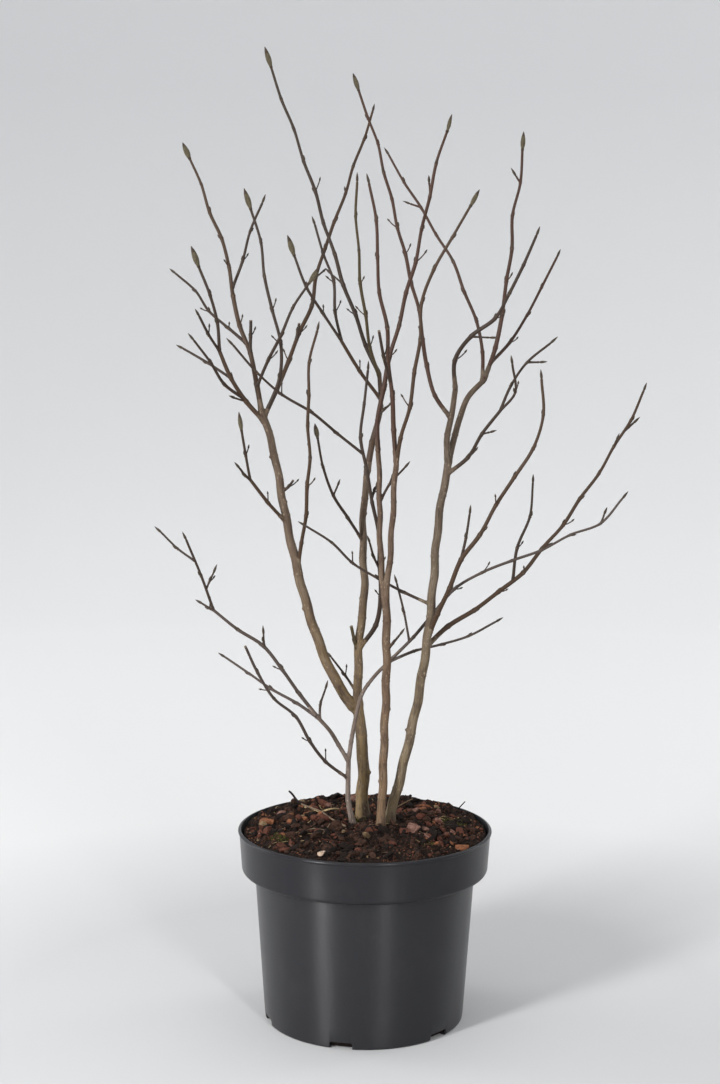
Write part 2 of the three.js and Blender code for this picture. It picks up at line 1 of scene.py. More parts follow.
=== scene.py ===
# %% [markdown]
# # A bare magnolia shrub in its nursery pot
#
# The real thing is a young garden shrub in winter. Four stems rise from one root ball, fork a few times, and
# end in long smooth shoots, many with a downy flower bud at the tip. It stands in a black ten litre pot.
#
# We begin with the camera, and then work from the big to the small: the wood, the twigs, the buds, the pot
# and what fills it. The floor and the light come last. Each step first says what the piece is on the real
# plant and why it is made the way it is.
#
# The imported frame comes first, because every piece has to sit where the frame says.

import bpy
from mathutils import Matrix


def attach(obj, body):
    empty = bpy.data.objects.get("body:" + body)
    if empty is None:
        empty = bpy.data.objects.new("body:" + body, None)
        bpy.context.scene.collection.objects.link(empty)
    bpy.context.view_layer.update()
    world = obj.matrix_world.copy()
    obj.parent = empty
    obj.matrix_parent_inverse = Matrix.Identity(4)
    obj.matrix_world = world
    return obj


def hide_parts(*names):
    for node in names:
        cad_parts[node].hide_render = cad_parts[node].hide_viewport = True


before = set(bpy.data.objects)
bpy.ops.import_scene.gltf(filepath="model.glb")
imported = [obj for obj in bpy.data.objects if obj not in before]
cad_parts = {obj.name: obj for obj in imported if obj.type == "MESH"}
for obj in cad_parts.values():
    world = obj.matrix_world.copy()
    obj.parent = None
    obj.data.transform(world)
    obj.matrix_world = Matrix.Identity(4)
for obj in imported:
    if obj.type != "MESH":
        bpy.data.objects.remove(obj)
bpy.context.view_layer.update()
print("nodes in the frame:", len(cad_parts))

# %% Bring in the tools
import math
import random

import bmesh
import bpy
import numpy as np
from mathutils import Matrix, Vector, noise

MM = 0.001  # the plant's sizes are thought of in millimetres, Blender's are metres

# %% [markdown]
# ## The camera
#
# The picture was taken from about two metres away, at three quarters of the plant's height, with a camera
# tipped slightly down. A plain lens and three small angles are enough. The camera is turned by hand-made axes
# instead of by tracking a point, because then its roll is a number that we can read.

# %% Place the camera
EYE = Vector((0.038, -2.040, 0.784))
LENS = 62.4          # millimetres, on a sensor whose long side is 36 mm
TIPPED_DOWN = 6.96   # degrees
TURNED_LEFT = 1.27
ROLLED = 0.32


def camera_axes(down, left, roll):
    """Right, up and backwards of a camera that first looks along +Y."""
    turn = Matrix.Rotation(math.radians(left), 3, "Z")
    tip = Matrix.Rotation(math.radians(90 - down), 3, "X")
    spin = Matrix.Rotation(math.radians(roll), 3, "Z")
    return turn @ tip @ spin


lens = bpy.data.cameras.new("camera")
lens.lens = LENS
lens.sensor_width = 36
camera = bpy.data.objects.new("camera", lens)
camera.matrix_world = Matrix.Translation(EYE) @ camera_axes(TIPPED_DOWN, TURNED_LEFT, ROLLED).to_4x4()
bpy.context.scene.collection.objects.link(camera)
bpy.context.scene.camera = camera
print("camera height above the floor, m:", round(EYE.z, 3))

# %% [markdown]
# ## Helpers for finishes
#
# Each finish is a small tree of nodes: some pattern goes into the colour, the roughness and the bump of one
# surface shader. The same few moves return every time, so they get short names here. Patterns are read
# either in the object's own space, or along the grain of the wood, which is stored on the mesh as `grain`.

# %% A finish and its nodes
def new_finish(name, color, roughness, specular=0.5):
    """A material with its surface shader set, ready for patterns."""
    finish = bpy.data.materials.new(name)
    finish.use_nodes = True
    shader = finish.node_tree.nodes["Principled BSDF"]
    shader.inputs["Base Color"].default_value = (*color, 1)
    shader.inputs["Roughness"].default_value = roughness
    shader.inputs["Specular IOR Level"].default_value = specular
    return finish


def add_node(finish, kind, **values):
    """A node with its sockets set by name."""
    node = finish.node_tree.nodes.new(kind)
    for name, value in values.items():
        node.inputs[name.replace("_", " ")].default_value = value
    return node


def link(finish, source, target):
    finish.node_tree.links.new(source, target)


def shader_of(finish):
    return finish.node_tree.nodes["Principled BSDF"]


# %% Places to read a pattern in
def own_space(finish, stretch=(1, 1, 1)):
    """The object's own space, stretched along its axes."""
    place = add_node(finish, "ShaderNodeTexCoord")
    mapping = add_node(finish, "ShaderNodeMapping", Scale=stretch)
    link(finish, place.outputs["Object"], mapping.inputs["Vector"])
    return mapping.outputs["Vector"]


def grain_space(finish, stretch=(1, 1, 1)):
    """The wood's own space: x and y go round the limb, z goes along it."""
    place = finish.node_tree.nodes.new("ShaderNodeAttribute")
    place.attribute_name = "grain"
    mapping = add_node(finish, "ShaderNodeMapping", Scale=stretch)
    link(finish, place.outputs["Vector"], mapping.inputs["Vector"])
    return mapping.outputs["Vector"]


# %% Patterns
def cloud(finish, space, scale, detail=3.0, roughness=0.55):
    """Soft noise from 0 to 1."""
    pattern = add_node(finish, "ShaderNodeTexNoise", Scale=scale, Detail=detail, Roughness=roughness)
    link(finish, space, pattern.inputs["Vector"])
    return pattern.outputs["Fac"]


def between(finish, value, low, high, new_low=0.0, new_high=1.0):
    """Stretches the part of a value from low to high over a new range."""
    stretch = add_node(finish, "ShaderNodeMapRange")
    stretch.inputs["From Min"].default_value = low
    stretch.inputs["From Max"].default_value = high
    stretch.inputs["To Min"].default_value = new_low
    stretch.inputs["To Max"].default_value = new_high
    link(finish, value, stretch.inputs["Value"])
    return stretch.outputs["Result"]


def blend_colors(finish, share, first, second):
    """Two colours, or colour sockets, mixed by a share from 0 to 1."""
    mix = finish.node_tree.nodes.new("ShaderNodeMix")
    mix.data_type = "RGBA"
    link(finish, share, mix.inputs["Factor"])
    for socket, color in ((mix.inputs[6], first), (mix.inputs[7], second)):
        if isinstance(color, tuple):
            socket.default_value = (*color, 1)
        else:
            link(finish, color, socket)
    return mix.outputs[2]


def paint(finish, color):
    link(finish, color, shader_of(finish).inputs["Base Color"])


def roughen(finish, value, low, high):
    link(finish, between(finish, value, 0.25, 0.75, low, high), shader_of(finish).inputs["Roughness"])


def emboss(finish, height, depth):
    """Turns a height from 0 to 1 into fine relief of a depth in metres."""
    bump = add_node(finish, "ShaderNodeBump", Strength=1.0, Distance=depth)
    link(finish, height, bump.inputs["Height"])
    link(finish, bump.outputs["Normal"], shader_of(finish).inputs["Normal"])


# %% [markdown]
# ## Helpers for shapes
#
# Everything on the plant is either a tube that follows a line, or a small lump. Many of them are joined
# into one object, because a thousand small objects are slow to handle. A `Heap` collects such bits and
# remembers which finish each one gets. The bits are closed bodies, so the finished mesh has no loose faces.

# %% A heap of small bodies
class Heap:
    """Small closed bodies that become one object."""

    def __init__(self):
        self.points = []
        self.faces = []
        self.tones = []
        self.count = 0

    def add(self, points, faces, tone=0):
        """Adds one body, all in one tone, or with a list of a tone for each face."""
        self.points.append(np.asarray(points, float))
        self.faces += [[corner + self.count for corner in face] for face in faces]
        self.tones += tone if isinstance(tone, list) else [tone] * len(faces)
        self.count += len(points)


def make_piece(name, heap, finishes, smooth=True):
    """One object from a heap whose points are in millimetres."""
    mesh = bpy.data.meshes.new(name)
    mesh.from_pydata(np.concatenate(heap.points) * MM, [], heap.faces)
    for finish in finishes:
        mesh.materials.append(finish)
    mesh.polygons.foreach_set("material_index", heap.tones)
    mesh.polygons.foreach_set("use_smooth", [smooth] * len(mesh.polygons))
    mesh.update()
    piece = bpy.data.objects.new(name, mesh)
    bpy.context.scene.collection.objects.link(piece)
    return piece


def settle(piece, slot, *nodes):
    """Ties a finished piece to the frame, and reports how large its mesh is."""
    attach(piece, "root")
    if nodes:
        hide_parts(*nodes)
    triangles = sum(len(face.vertices) - 2 for face in piece.data.polygons)
    print(f"{piece.name}: {triangles} triangles, stands for {len(nodes)} nodes")


# %% A tube along a line
def unit(vector):
    return vector / np.linalg.norm(vector)


def ring_frames(centres):
    """The way, side and other side of a ring square to the line at each of its points."""
    steps = np.gradient(centres, axis=0)
    ways = steps / np.linalg.norm(steps, axis=1)[:, None]
    side = np.array([1.0, 0.0, 0.0])
    frames = []
    for way in ways:
        side = unit(side - way * (side @ way))
        frames.append((way, side, np.cross(way, side)))
    return frames


def tube(centres, radii, sides, shape=None):
    """Points and faces of a closed tube. shape(ring, turns) may change each ring's radii."""
    turns = np.arange(sides) * 2 * math.pi / sides
    points = []
    for i, (way, side, other) in enumerate(ring_frames(centres)):
        radius = radii[i] * (np.ones(sides) if shape is None else shape(i, turns))
        offsets = np.outer(radius * np.cos(turns), side) + np.outer(radius * np.sin(turns), other)
        points.append(centres[i] + offsets)
    count = len(centres)
    foot, tip = count * sides, count * sides + 1
    points.append(np.array([centres[0], centres[-1]]))
    faces = []
    for i in range(count - 1):
        low, high = i * sides, (i + 1) * sides
        faces += [(low + j, low + (j + 1) % sides, high + (j + 1) % sides, high + j) for j in range(sides)]
    top = (count - 1) * sides
    faces += [(foot, (j + 1) % sides, j) for j in range(sides)]
    faces += [(tip, top + j, top + (j + 1) % sides) for j in range(sides)]
    return np.concatenate(points), faces


# %% [markdown]
# ## How the shrub grows
#
# A real shoot grows one internode after another, and turns a little to and fro at each node. The frame's
# plant was grown by that rule, so the same rule is written here again, with the same sizes. The finer plant
# then stays inside the same reach and keeps the same open places.
#
# A limb is told by the limb that carries it, how far along that one it starts, its length, its leans from
# upright towards +X (`lean`) and +Y (`back`) in degrees at even places along it, and its thickness. It ends
# in a slim leaf bud, a downy flower bud or a blunt cut.

# %% Sizes of the rule
MIX_TOP = 220         # height of the potting mix at the stems
CLEAR = 0.3           # the frame's gap under each stem
TWIG_STEP = 36        # length of one internode
BOUGH_STEP = 24
KINK = 3              # degrees a limb turns to and fro at its nodes


def limb(on, at, long, lean, back, thick, end="leaf"):
    return dict(on=on, at=at, long=long, lean=lean, back=back, thick=thick, end=end)


# %% Values and ways along a limb
def along(values, fraction):
    """The value a fraction of the way along a short list of values at even places."""
    return float(np.interp(fraction * (len(values) - 1), range(len(values)), values))


def direction(lean, back):
    """The way that leans this many degrees from upright towards +X and towards +Y."""
    lean = math.radians(lean)
    back = math.radians(back)
    return np.array([math.sin(lean) * math.cos(back), math.sin(back), math.cos(lean) * math.cos(back)])


def grow_points(start, limb, step):
    """A limb's nodes from its start: one straight internode after another."""
    count = max(2, math.floor(limb["long"] / step + 0.5))
    points = [start]
    for i in range(count):
        middle = (i + 0.5) / count
        turn = (KINK if i % 2 else -KINK) if count > 2 else 0
        way = direction(along(limb["lean"], middle) + turn, along(limb["back"], middle) - turn)
        points.append(points[-1] + way * limb["long"] / count)
    return np.array(points)


# %% [markdown]
# ### Stems and boughs
#
# Four stems stand in the mix. The main one forks after a hand's breadth into the left and the middle bough,
# the right one after two. Leans and lengths were read off the picture, limb by limb.

# %% The stems and boughs
STEMS = {
    "stem_main": dict(foot=[-3, 28], long=122, lean=[0, 2, -6, -4], back=[-2], thick=[14.4, 12.4]),
    "stem_low": dict(foot=[-14, 1], long=72, lean=[-10, -4, 8], back=[-2], thick=[6.4, 5.4]),
    "stem_centre": dict(foot=[18, -13], long=258, lean=[4, 1, 2, 0, -2], back=[-4], thick=[9.6, 9]),
    "stem_right": dict(foot=[27, 5], long=410, lean=[14, 12, 7, 3, 12], back=[-7, -4, 2], thick=[11.4, 8.4]),
}

BOUGHS = {
    "bough_left": limb("stem_main", 0.985, 356, [-40, -22, -15, -12, -9, -20], [-4, -4, 2], [12.4, 8]),
    "bough_middle": limb("stem_main", 1, 264, [0, 0, 8, -4, 1, 8], [4, 7], [10.6, 7.4]),
    "bough_centre_left": limb("stem_centre", 1, 158, [-8, -1, -2], [4, 8], [7, 5.6]),
    "bough_centre_right": limb("stem_centre", 0.985, 154, [7, 3, 3], [-12, -6], [7.2, 6]),
    "bough_right": limb("stem_right", 0.99, 106, [19, 10, 26, 48], [8, 14], [7.4, 6]),
    "bough_right_inner": limb("stem_right", 1, 82, [-4, 7, 12], [-14, -10], [7.2, 6]),
    "bough_low": limb("stem_low", 1, 125, [13, 7, 29, 57], [0, 10], [5.2, 4]),
    "bough_low_left": limb("stem_low", 0.97, 64, [-24, -40], [-12], [5, 4.4]),
}

# %% [markdown]
# ### Twigs
#
# A mass of twigs is told in the same way, and its first limb sits on a bough or a stem. The left of the
# crown comes first: a fan of long shoots above the left bough, and a short one at its side.

# %% Twigs on the left
MASSES = {
    "twigs_left_outer": {
        "outer": limb("bough_left", 0.97, 96, [-40, -34, -11], [-18], [5.6, 4], "cut"),
        "outer_up": limb("outer", 1, 96, [9, -8, -24, -12], [-22, -10], [3.8, 2.8], "flower"),
        "outer_short": limb("outer", 1, 50, [-33, -20], [-34], [3.2, 2.6]),
        "outer_low": limb("outer", 0.36, 92, [-60, -36, -28, -36], [-32, -22], [3.6, 2.6]),
        "outer_back": limb("outer", 0.66, 74, [-58, -64], [32, 28], [3.2, 2.4]),
    },
    "twigs_left_upper": {
        "upper": limb("bough_left", 1, 314, [-5, -16, -22, -7, -25, -21, -24], [16, 20, 18], [5.8, 2.8],
            "flower"),
        "upper_inner": limb("upper", 0.47, 100, [30, 12, 33], [-8, 4], [3.4, 2.6]),
        "upper_outer": limb("upper", 0.26, 140, [-45, -58, -31, -68], [36, 30], [3.6, 2.4]),
        "upper_stub": limb("upper", 0.222, 36, [2], [-10], [4, 3.4], "cut"),
        "upper_front": limb("upper", 0.1, 136, [28, 25, 34], [-24, -18], [3.8, 2.8], "flower"),
    },
    "twigs_left_inner": {
        "inner": limb("bough_left", 0.985, 395, [31, 18, 25, 7, 21, 17, 18, 19], [22, 24, 20], [5.2, 2.8]),
        "inner_up": limb("inner", 0.03, 223, [47, 1, -3, -20, -12, 5, -46], [-10, 0, 8], [4, 2.8],
            "flower"),
        "inner_stub": limb("inner", 0.25, 19, [10], [-10], [3.4, 3], "cut"),
    },
    "twigs_left_straight": {
        "straight": limb("bough_left", 0.5, 282, [14, 7, 5, -2, 3, 16], [-26, -12], [4.4, 2.8]),
    },
    "twigs_left_side": {
        "side": limb("bough_left", 0.65, 70, [-34, -45, -25], [-28, -20], [4.2, 3.4], "cut"),
        "side_up": limb("side", 1, 56, [-9, -8], [-14], [3.2, 2.6], "flower"),
        "side_out": limb("side", 0.98, 20, [-50, -28], [-30], [2.8, 2.4]),
    },
}

# %% Twigs on the middle bough
MASSES |= {
    "twigs_middle_top": {
        "middle": limb("bough_middle", 1, 116, [10, 15, 5, -4], [6, 10], [7.2, 5], "cut"),
        "topmost": limb("middle", 1, 358, [-24, -20, -17, -20, -21], [3, -3], [4.8, 2.8], "flower"),
        "top_front": limb("middle", 0.97, 222, [-17, -8, -4, 1], [-20, -12], [4, 2.6]),
        "pair": limb("middle", 0.76, 86, [-30, -42, -20], [-30, -20], [4.4, 3.6], "cut"),
        "pair_outer": limb("pair", 1, 108, [-25, -36, -34, -2], [-22, -8], [3.4, 2.8], "flower"),
        "pair_inner": limb("pair", 0.98, 132, [-14, -4, -20, -20], [2, 12], [3.4, 2.6]),
    },
    "twigs_middle_side": {
        "beside": limb("bough_middle", 0.26, 326, [52, 6, -2, -9, -14, 3, 12], [-18, -12, -4, 0],
            [5.4, 2.8]),
        "beside_small": limb("beside", 0.32, 38, [-28, -10], [-30], [2.8, 2.4]),
        "beside_right": limb("beside", 0.57, 16, [22], [36], [2.8, 2.4]),
        "long_left": limb("beside", 0.72, 189, [-46, -50, -55, -56, -44, -30], [-14, -20], [3.4, 2.4]),
    },
    "twigs_middle_small": {
        "small": limb("bough_middle", 0.72, 152, [-22, -36, -12, -12], [-34, -26], [3.6, 2.6], "flower"),
    },
}

# %% Short spurs and stubs
MASSES |= {
    "twig_left_spur": {
        "left_spur": limb("bough_left", 0.75, 20, [64, 28], [-14], [3, 2.6], "cut"),
    },
    "twig_middle_stub": {
        "stub": limb("bough_middle", 0.235, 36, [-16, -10], [-12], [4, 3.4], "cut"),
    },
    "twig_low_spur": {
        "low_spur": limb("bough_low_left", 0.94, 34, [-6, 26], [18], [2.8, 2.2]),
    },
    "twig_centre_low": {
        "centre_low": limb("stem_centre", 0.775, 24, [37], [-16], [3, 2.4]),
    },
    "twig_middle_low": {
        "low": limb("bough_middle", 0.07, 52, [-35, -43], [24], [3, 2.4]),
    },
}

# %% Twigs on the centre stem
MASSES |= {
    "twigs_centre_tall": {
        "tall": limb("bough_centre_left", 1, 354, [-1, 13, 15, 11, 17], [0, -14, -20], [5.4, 2.8],
            "flower"),
        "tall_bit": limb("tall", 0.12, 14, [48], [-10], [2.8, 2.4]),
    },
    "twigs_centre_front": {
        "front": limb("bough_centre_right", 1, 298, [0, -6, -3, -12, 2, -22], [-8, -16, -8], [5.2, 2.8]),
        "front_stub": limb("front", 0.3, 66, [-22, -8, -13], [-34], [3.6, 3], "cut"),
    },
    "twigs_centre_arching": {
        "arching": limb("bough_centre_right", 0.96, 300, [10, 13, 7, 4, 33, 24], [-24, -14, -18],
            [4.4, 2.8], "flower"),
    },
    "twig_centre_side": {
        "centre_side": limb("bough_centre_left", 0.66, 48, [22, 50], [20], [3, 2.4]),
    },
}

# %% [markdown]
# The right of the crown is looser: two tall shoots, one that crosses behind, two long ones that sweep out
# from the middle of the right stem, and thin low ones.

# %% Twigs on the right
MASSES |= {
    "twigs_right_tall": {
        "right_tall": limb("bough_right_inner", 0.62, 418, [-40, -6, -15, -14, -15, -24], [30, 24, 18],
            [4.8, 2.8], "flower"),
    },
    "twigs_right_inner": {
        "right_inner": limb("bough_right_inner", 1, 199, [-12, 20, 58, 22, 30, 11], [-18, -26, -16],
            [5, 2.8]),
    },
    "twigs_right_upper": {
        "right_upper": limb("bough_right", 1, 262, [30, 8, 11, 2, 11, 4], [10, 16, 10], [5, 2.8], "flower"),
        "right_upper_side": limb("right_upper", 0.07, 160, [58, 30, 32, 20], [34, 22], [3.6, 2.6]),
    },
    "twigs_right_crossing": {
        "crossing": limb("bough_right", 0.97, 292, [16, -12, -19, -23, -30, -33, -30, -34], [28, 14, 22],
            [4, 2.6]),
    },
    "twigs_right_side": {
        "right_side": limb("stem_right", 0.97, 99, [75, 28, 22, 56], [-26, -22], [4.4, 3.4], "cut"),
        "right_side_out": limb("right_side", 1, 91, [22, 30, 64], [-20, -8], [3.2, 2.4]),
        "right_side_up": limb("right_side", 0.98, 62, [60, 12, -28], [-34, -16], [3, 2.4]),
    },
    "twigs_right_long": {
        "long_right": limb("stem_right", 0.505, 392, [51, 61, 43, 36, 32, 25], [26, 14, 8], [5.4, 2.8]),
        "long_right_up": limb("long_right", 0.325, 119, [0, 24, 16, 2], [26, 20], [3.6, 2.6]),
        "long_right_bit": limb("long_right", 0.87, 14, [50], [10], [2.8, 2.4]),
    },
    "twigs_right_front": {
        "right_front": limb("stem_right", 0.525, 329, [26, 18, 23, 34, 25, 36, 7, -6], [-30, -14, -6],
            [5.8, 2.8]),
        "right_front_side": limb("right_front", 0.33, 50, [14, 6], [-2], [3.2, 2.6]),
    },
    "twigs_right_low": {
        "right_low": limb("bough_low", 1, 318, [54, 36, 47, 70, 63, 64, 31], [6, -6, -10], [3.8, 2.4]),
        "low_inner": limb("right_low", 0.09, 66, [-9, -12, -14, -17], [22, 8], [2.8, 2.2]),
    },
    "twigs_right_lowest": {
        "lowest": limb("bough_low", 0.97, 137, [79, 71, 81, 78, 43], [30, 14], [3.4, 2.4]),
    },
    "twig_crossing": {
        "across": limb("stem_right", 0.62, 162, [-60, -67, -56, -46, -60], [0, -2, -6], [3.2, 2.4]),
    },
}

# %% Twigs on the low stem
MASSES |= {
    "twigs_low_outer": {
        "low_outer": limb("bough_low_left", 1, 167, [-20, -48, -26, -45, -74, -24], [-8, 2], [4.2, 3.4],
            "cut"),
        "low_outer_up": limb("low_outer", 1, 85, [-17, -18, -20, -22], [-12], [3.2, 2.6]),
        "low_outer_tip": limb("low_outer_up", 0.7, 50, [-61, -44], [16], [2.6, 2.2]),
        "low_outer_side": limb("low_outer_up", 0.3, 19, [24], [10], [2.4, 2]),
        "low_outer_end": limb("low_outer", 0.97, 22, [-64], [30], [2.6, 2.2]),
        "low_outer_bit": limb("low_outer", 0.58, 16, [-14, 4], [-12], [2.4, 2]),
    },
    "twigs_low_back": {
        "low_back": limb("bough_low_left", 0.96, 142, [-46, -75, -66, -53, -75], [34, 26], [3.6, 2.4]),
    },
    "twigs_low_front": {
        "low_front": limb("stem_low", 0.7, 224, [-47, -39, -20, -49, -17, -28], [-30, -24], [3.8, 2.8],
            "cut"),
    },
}

# %% [markdown]
# ### Growing it
#
# Every limb is grown before any mesh is made, because a side shoot is left out where it would come near
# another limb, and for that all of them have to be known.

# %% Grow every limb
GROWN = {}


def point_on(name, fraction):
    points = GROWN[name]["points"]
    place = fraction * (len(points) - 1)
    low = min(int(place), len(points) - 2)
    return points[low] + (points[low + 1] - points[low]) * (place - low)


def grow(name, limb, start, step, group):
    points = grow_points(start, limb, step)
    radii = np.array([along(limb["thick"], i / (len(points) - 1)) / 2 for i in range(len(points))])
    GROWN[name] = dict(limb, name=name, group=group, points=points, radii=radii)


for name, stem in STEMS.items():
    grow(name, stem, np.array([*stem["foot"], MIX_TOP + CLEAR]), BOUGH_STEP, "stem")
for name, bough in BOUGHS.items():
    grow(name, bough, point_on(bough["on"], bough["at"]), BOUGH_STEP, "bough")
for node, limbs in MASSES.items():
    for name, twig in limbs.items():
        grow(name, twig, point_on(twig["on"], twig["at"]), TWIG_STEP, "twig")
print("limbs grown:", len(GROWN))
print("highest node, mm:", round(max(limb["points"][-1][2] for limb in GROWN.values())))

# %% [markdown]
# ### Side buds and spurs
#
# At each node of a magnolia shoot sits one bud, and the next one is a golden turn further round. Now and
# then the bud has grown into a short spur. A seeded rule draws the kind and size of each, in the frame's
# order, so they come out in the frame's places.

# %% Sizes of side buds and spurs
GOLDEN_TURN = 137.5
SPUR_SHARE = 0.14     # of a twig's nodes
SPUR_SHORT = 5
SPUR_LONG = 18
SPUR_THICK = 2.2
SPUR_SPREAD = 40      # degrees from the twig
BUD_SPREAD = 28
SIDE_BUD_LONG = 7
LEAF_BUD_LONG = 11
BARE_FOOT = 0.16      # share of a twig below its first side bud
BARE_TIP = 0.06
SPUR_CLEARANCE = 2.5
SEED_STEP = 7919
RANDOM_FACTOR = 16807
RANDOM_PRIME = 2147483647


def seeded(seed):
    """Even random numbers from 0 to 1, the same every time for one seed."""
    state = seed * SEED_STEP
    while True:
        state = state * RANDOM_FACTOR % RANDOM_PRIME
        yield state / RANDOM_PRIME


# %% Keep clear of other limbs
OWNERS = np.array([name for name, limb in GROWN.items() for _ in limb["points"][1:]])
LOW_ENDS = np.concatenate([limb["points"][:-1] for limb in GROWN.values()])
HIGH_ENDS = np.concatenate([limb["points"][1:] for limb in GROWN.values()])
LOW_RADII = np.concatenate([limb["radii"][:-1] for limb in GROWN.values()])


def distances(point, low_ends, high_ends):
    """How far a point is from each of many straight stretches."""
    spans = high_ends - low_ends
    shares = np.clip(((point - low_ends) * spans).sum(1) / (spans * spans).sum(1), 0, 1)
    return np.linalg.norm(low_ends + spans * shares[:, None] - point, axis=1)


def is_clear(root, tip, own):
    others = OWNERS != own
    for share in (0.5, 1.0):
        gaps = distances(root + (tip - root) * share, LOW_ENDS[others], HIGH_ENDS[others])
        if (gaps <= LOW_RADII[others] + SPUR_CLEARANCE).any():
            return False
    return True


def turned_about(vector, axis, degrees):
    angle = math.radians(degrees)
    return (vector * math.cos(angle) + np.cross(axis, vector) * math.sin(angle)
            + axis * (axis @ vector) * (1 - math.cos(angle)))


# %% Deal out side buds and spurs
SHOOTS = []
for index, limbs in enumerate(MASSES.values()):
    draw = seeded(index + 1)
    for name in limbs:
        limb = GROWN[name]
        last = len(limb["points"]) - 1
        for i in range(1, last):
            kind, size = next(draw), next(draw)
            if not BARE_FOOT <= i / last <= 1 - BARE_TIP:
                continue
            way = unit(limb["points"][i + 1] - limb["points"][i])
            out = turned_about(unit(np.array([0.0, 1, 0]) - way * way[1]), way, GOLDEN_TURN * i)
            is_spur = kind < SPUR_SHARE
            spread = math.radians(SPUR_SPREAD if is_spur else BUD_SPREAD)
            aim = way * math.cos(spread) + out * math.sin(spread)
            long = SPUR_SHORT + (SPUR_LONG - SPUR_SHORT) * size if is_spur else SIDE_BUD_LONG
            root = limb["points"][i]
            tip = root + aim * (limb["radii"][i] + long)
            if is_clear(root, tip + aim * (LEAF_BUD_LONG if is_spur else 0), name):
                SHOOTS.append(dict(on=name, node=i, is_spur=is_spur, size=size, root=root, way=way,
                                   out=out, aim=aim, long=long, radius=limb["radii"][i]))
spur_count = sum(shoot["is_spur"] for shoot in SHOOTS)
print("side buds:", len(SHOOTS) - spur_count, "- spurs:", spur_count)

# %% [markdown]
# ## A soft line through the nodes
#
# The rule gives straight internodes with a corner at each node. Wood doesn't grow corners, so the finished
# limb follows a curve that goes through the same nodes: at each node it heads halfway between its two
# internodes.

# %% Curves and collars
COLLAR = 0.5          # how much wider a limb is where it leaves the one that carries it
COLLAR_REACH = 3.2    # how far the collar reaches, in radii of the carrying limb
INSIDE_ROOM = 0.96    # how much of the carrying limb's radius a root may fill while it is inside it
FREE_REACH = 1.9      # beyond this many radii of the carrying limb, a root has come out of it


def curve_through(points, places):
    """Points of a soft curve through a limb's nodes, at places counted in internodes."""
    ways = np.gradient(points, axis=0)
    low = np.clip(places.astype(int), 0, len(points) - 2)
    t = (places - low)[:, None]
    start, end = points[low], points[low + 1]
    return (start * (2 * t**3 - 3 * t**2 + 1) + ways[low] * (t**3 - 2 * t**2 + t)
            + end * (3 * t**2 - 2 * t**3) + ways[low + 1] * (t**3 - t**2))


def distance_along(centres):
    return np.concatenate([[0], np.cumsum(np.linalg.norm(np.diff(centres, axis=0), axis=1))])


def radius_at(name, fraction):
    radii = GROWN[name]["radii"]
    return float(np.interp(fraction * (len(radii) - 1), range(len(radii)), radii))


def with_collar(limb, centres, radii):
    """Widens a limb near its root, but never past the sides of the limb that carries it."""
    carrier = radius_at(limb["on"], limb["at"])
    walked = distance_along(centres)
    near = np.clip(1 - walked / (carrier * COLLAR_REACH), 0, 1) ** 2
    wide = radii * (1 + COLLAR * near)
    room = carrier * (INSIDE_ROOM + 0.5 * np.clip(walked / carrier - 0.9, 0, 1))
    return np.where(walked < carrier * FREE_REACH, np.minimum(wide, np.maximum(room, radii * 0.9)), wide)


# %% [markdown]
# ## The old wood
#
# The stems and boughs are smooth, olive to tan brown, thickest at the foot and swollen where they fork. On
# the real shrub the bark runs over a fork without a seam. Tubes that merely cross would show a hard line
# there, so the tubes of one stem and its boughs are melted into a single skin with a voxel remesh and
# smoothed a little. The skin then gets the bark's own relief by moving its points: fine ridges along the
# grain, small raised pores, rings where each year's growth began, and a few knobs of sleeping buds.

# %% Sizes of the old wood
FOOT_FLARE = 0.32     # extra width of a stem's foot
FLARE_HEIGHT = 16
FOOT_DEPTH = 9        # how far a stem goes on down into the mix
WOOD_SIDES = 20
WOOD_SPACING = 3      # between rings
VOXEL = 0.75          # how fine the melted skin is
SOFTENING = 5         # rounds of smoothing after it
SLEEVE = 15           # length of old bark that runs up the foot of a twig
SLEEVE_WIDTH = 1.07   # how much wider the sleeve is than the twig in it
DOME_RISES = np.array([0.35, 0.62, 0.8])   # of the rings in a rounded tip, in radii
DOME_HEIGHT = 0.86
WOOD_GROUPS = {
    "wood_main": ["stem_main", "bough_left", "bough_middle"],
    "wood_low": ["stem_low", "bough_low", "bough_low_left"],
    "wood_centre": ["stem_centre", "bough_centre_left", "bough_centre_right"],
    "wood_right": ["stem_right", "bough_right", "bough_right_inner"],
}


def wood_line(name):
    """Centres and radii of a stem or a bough, with its foot or its collar."""
    limb = GROWN[name]
    count = len(limb["points"]) - 1
    rings = max(8, round(limb["long"] / WOOD_SPACING))
    places = np.linspace(0, count, rings + 1)
    centres = curve_through(limb["points"], places)
    radii = np.interp(places, range(count + 1), limb["radii"])
    if limb["group"] == "bough":
        return centres, with_collar(limb, centres, radii)
    radii = radii * (1 + FOOT_FLARE * np.exp(-((centres[:, 2] - MIX_TOP) / (FLARE_HEIGHT * 0.45)) ** 1.2))
    buried = centres[0] + np.outer([-FOOT_DEPTH, -FOOT_DEPTH / 2], centres[1] - centres[0]) / WOOD_SPACING
    return np.vstack([buried, centres]), np.concatenate([[radii[0] * 1.1, radii[0] * 1.05], radii])


def rounded(centres, radii):
    """Closes a limb's tip with a low dome instead of a flat end."""
    way = unit(centres[-1] - centres[-2])
    more_centres = centres[-1] + np.outer(DOME_RISES * radii[-1], way)
    more_radii = radii[-1] * np.sqrt(1 - (DOME_RISES / DOME_HEIGHT) ** 2)
    return np.vstack([centres, more_centres]), np.concatenate([radii, more_radii])


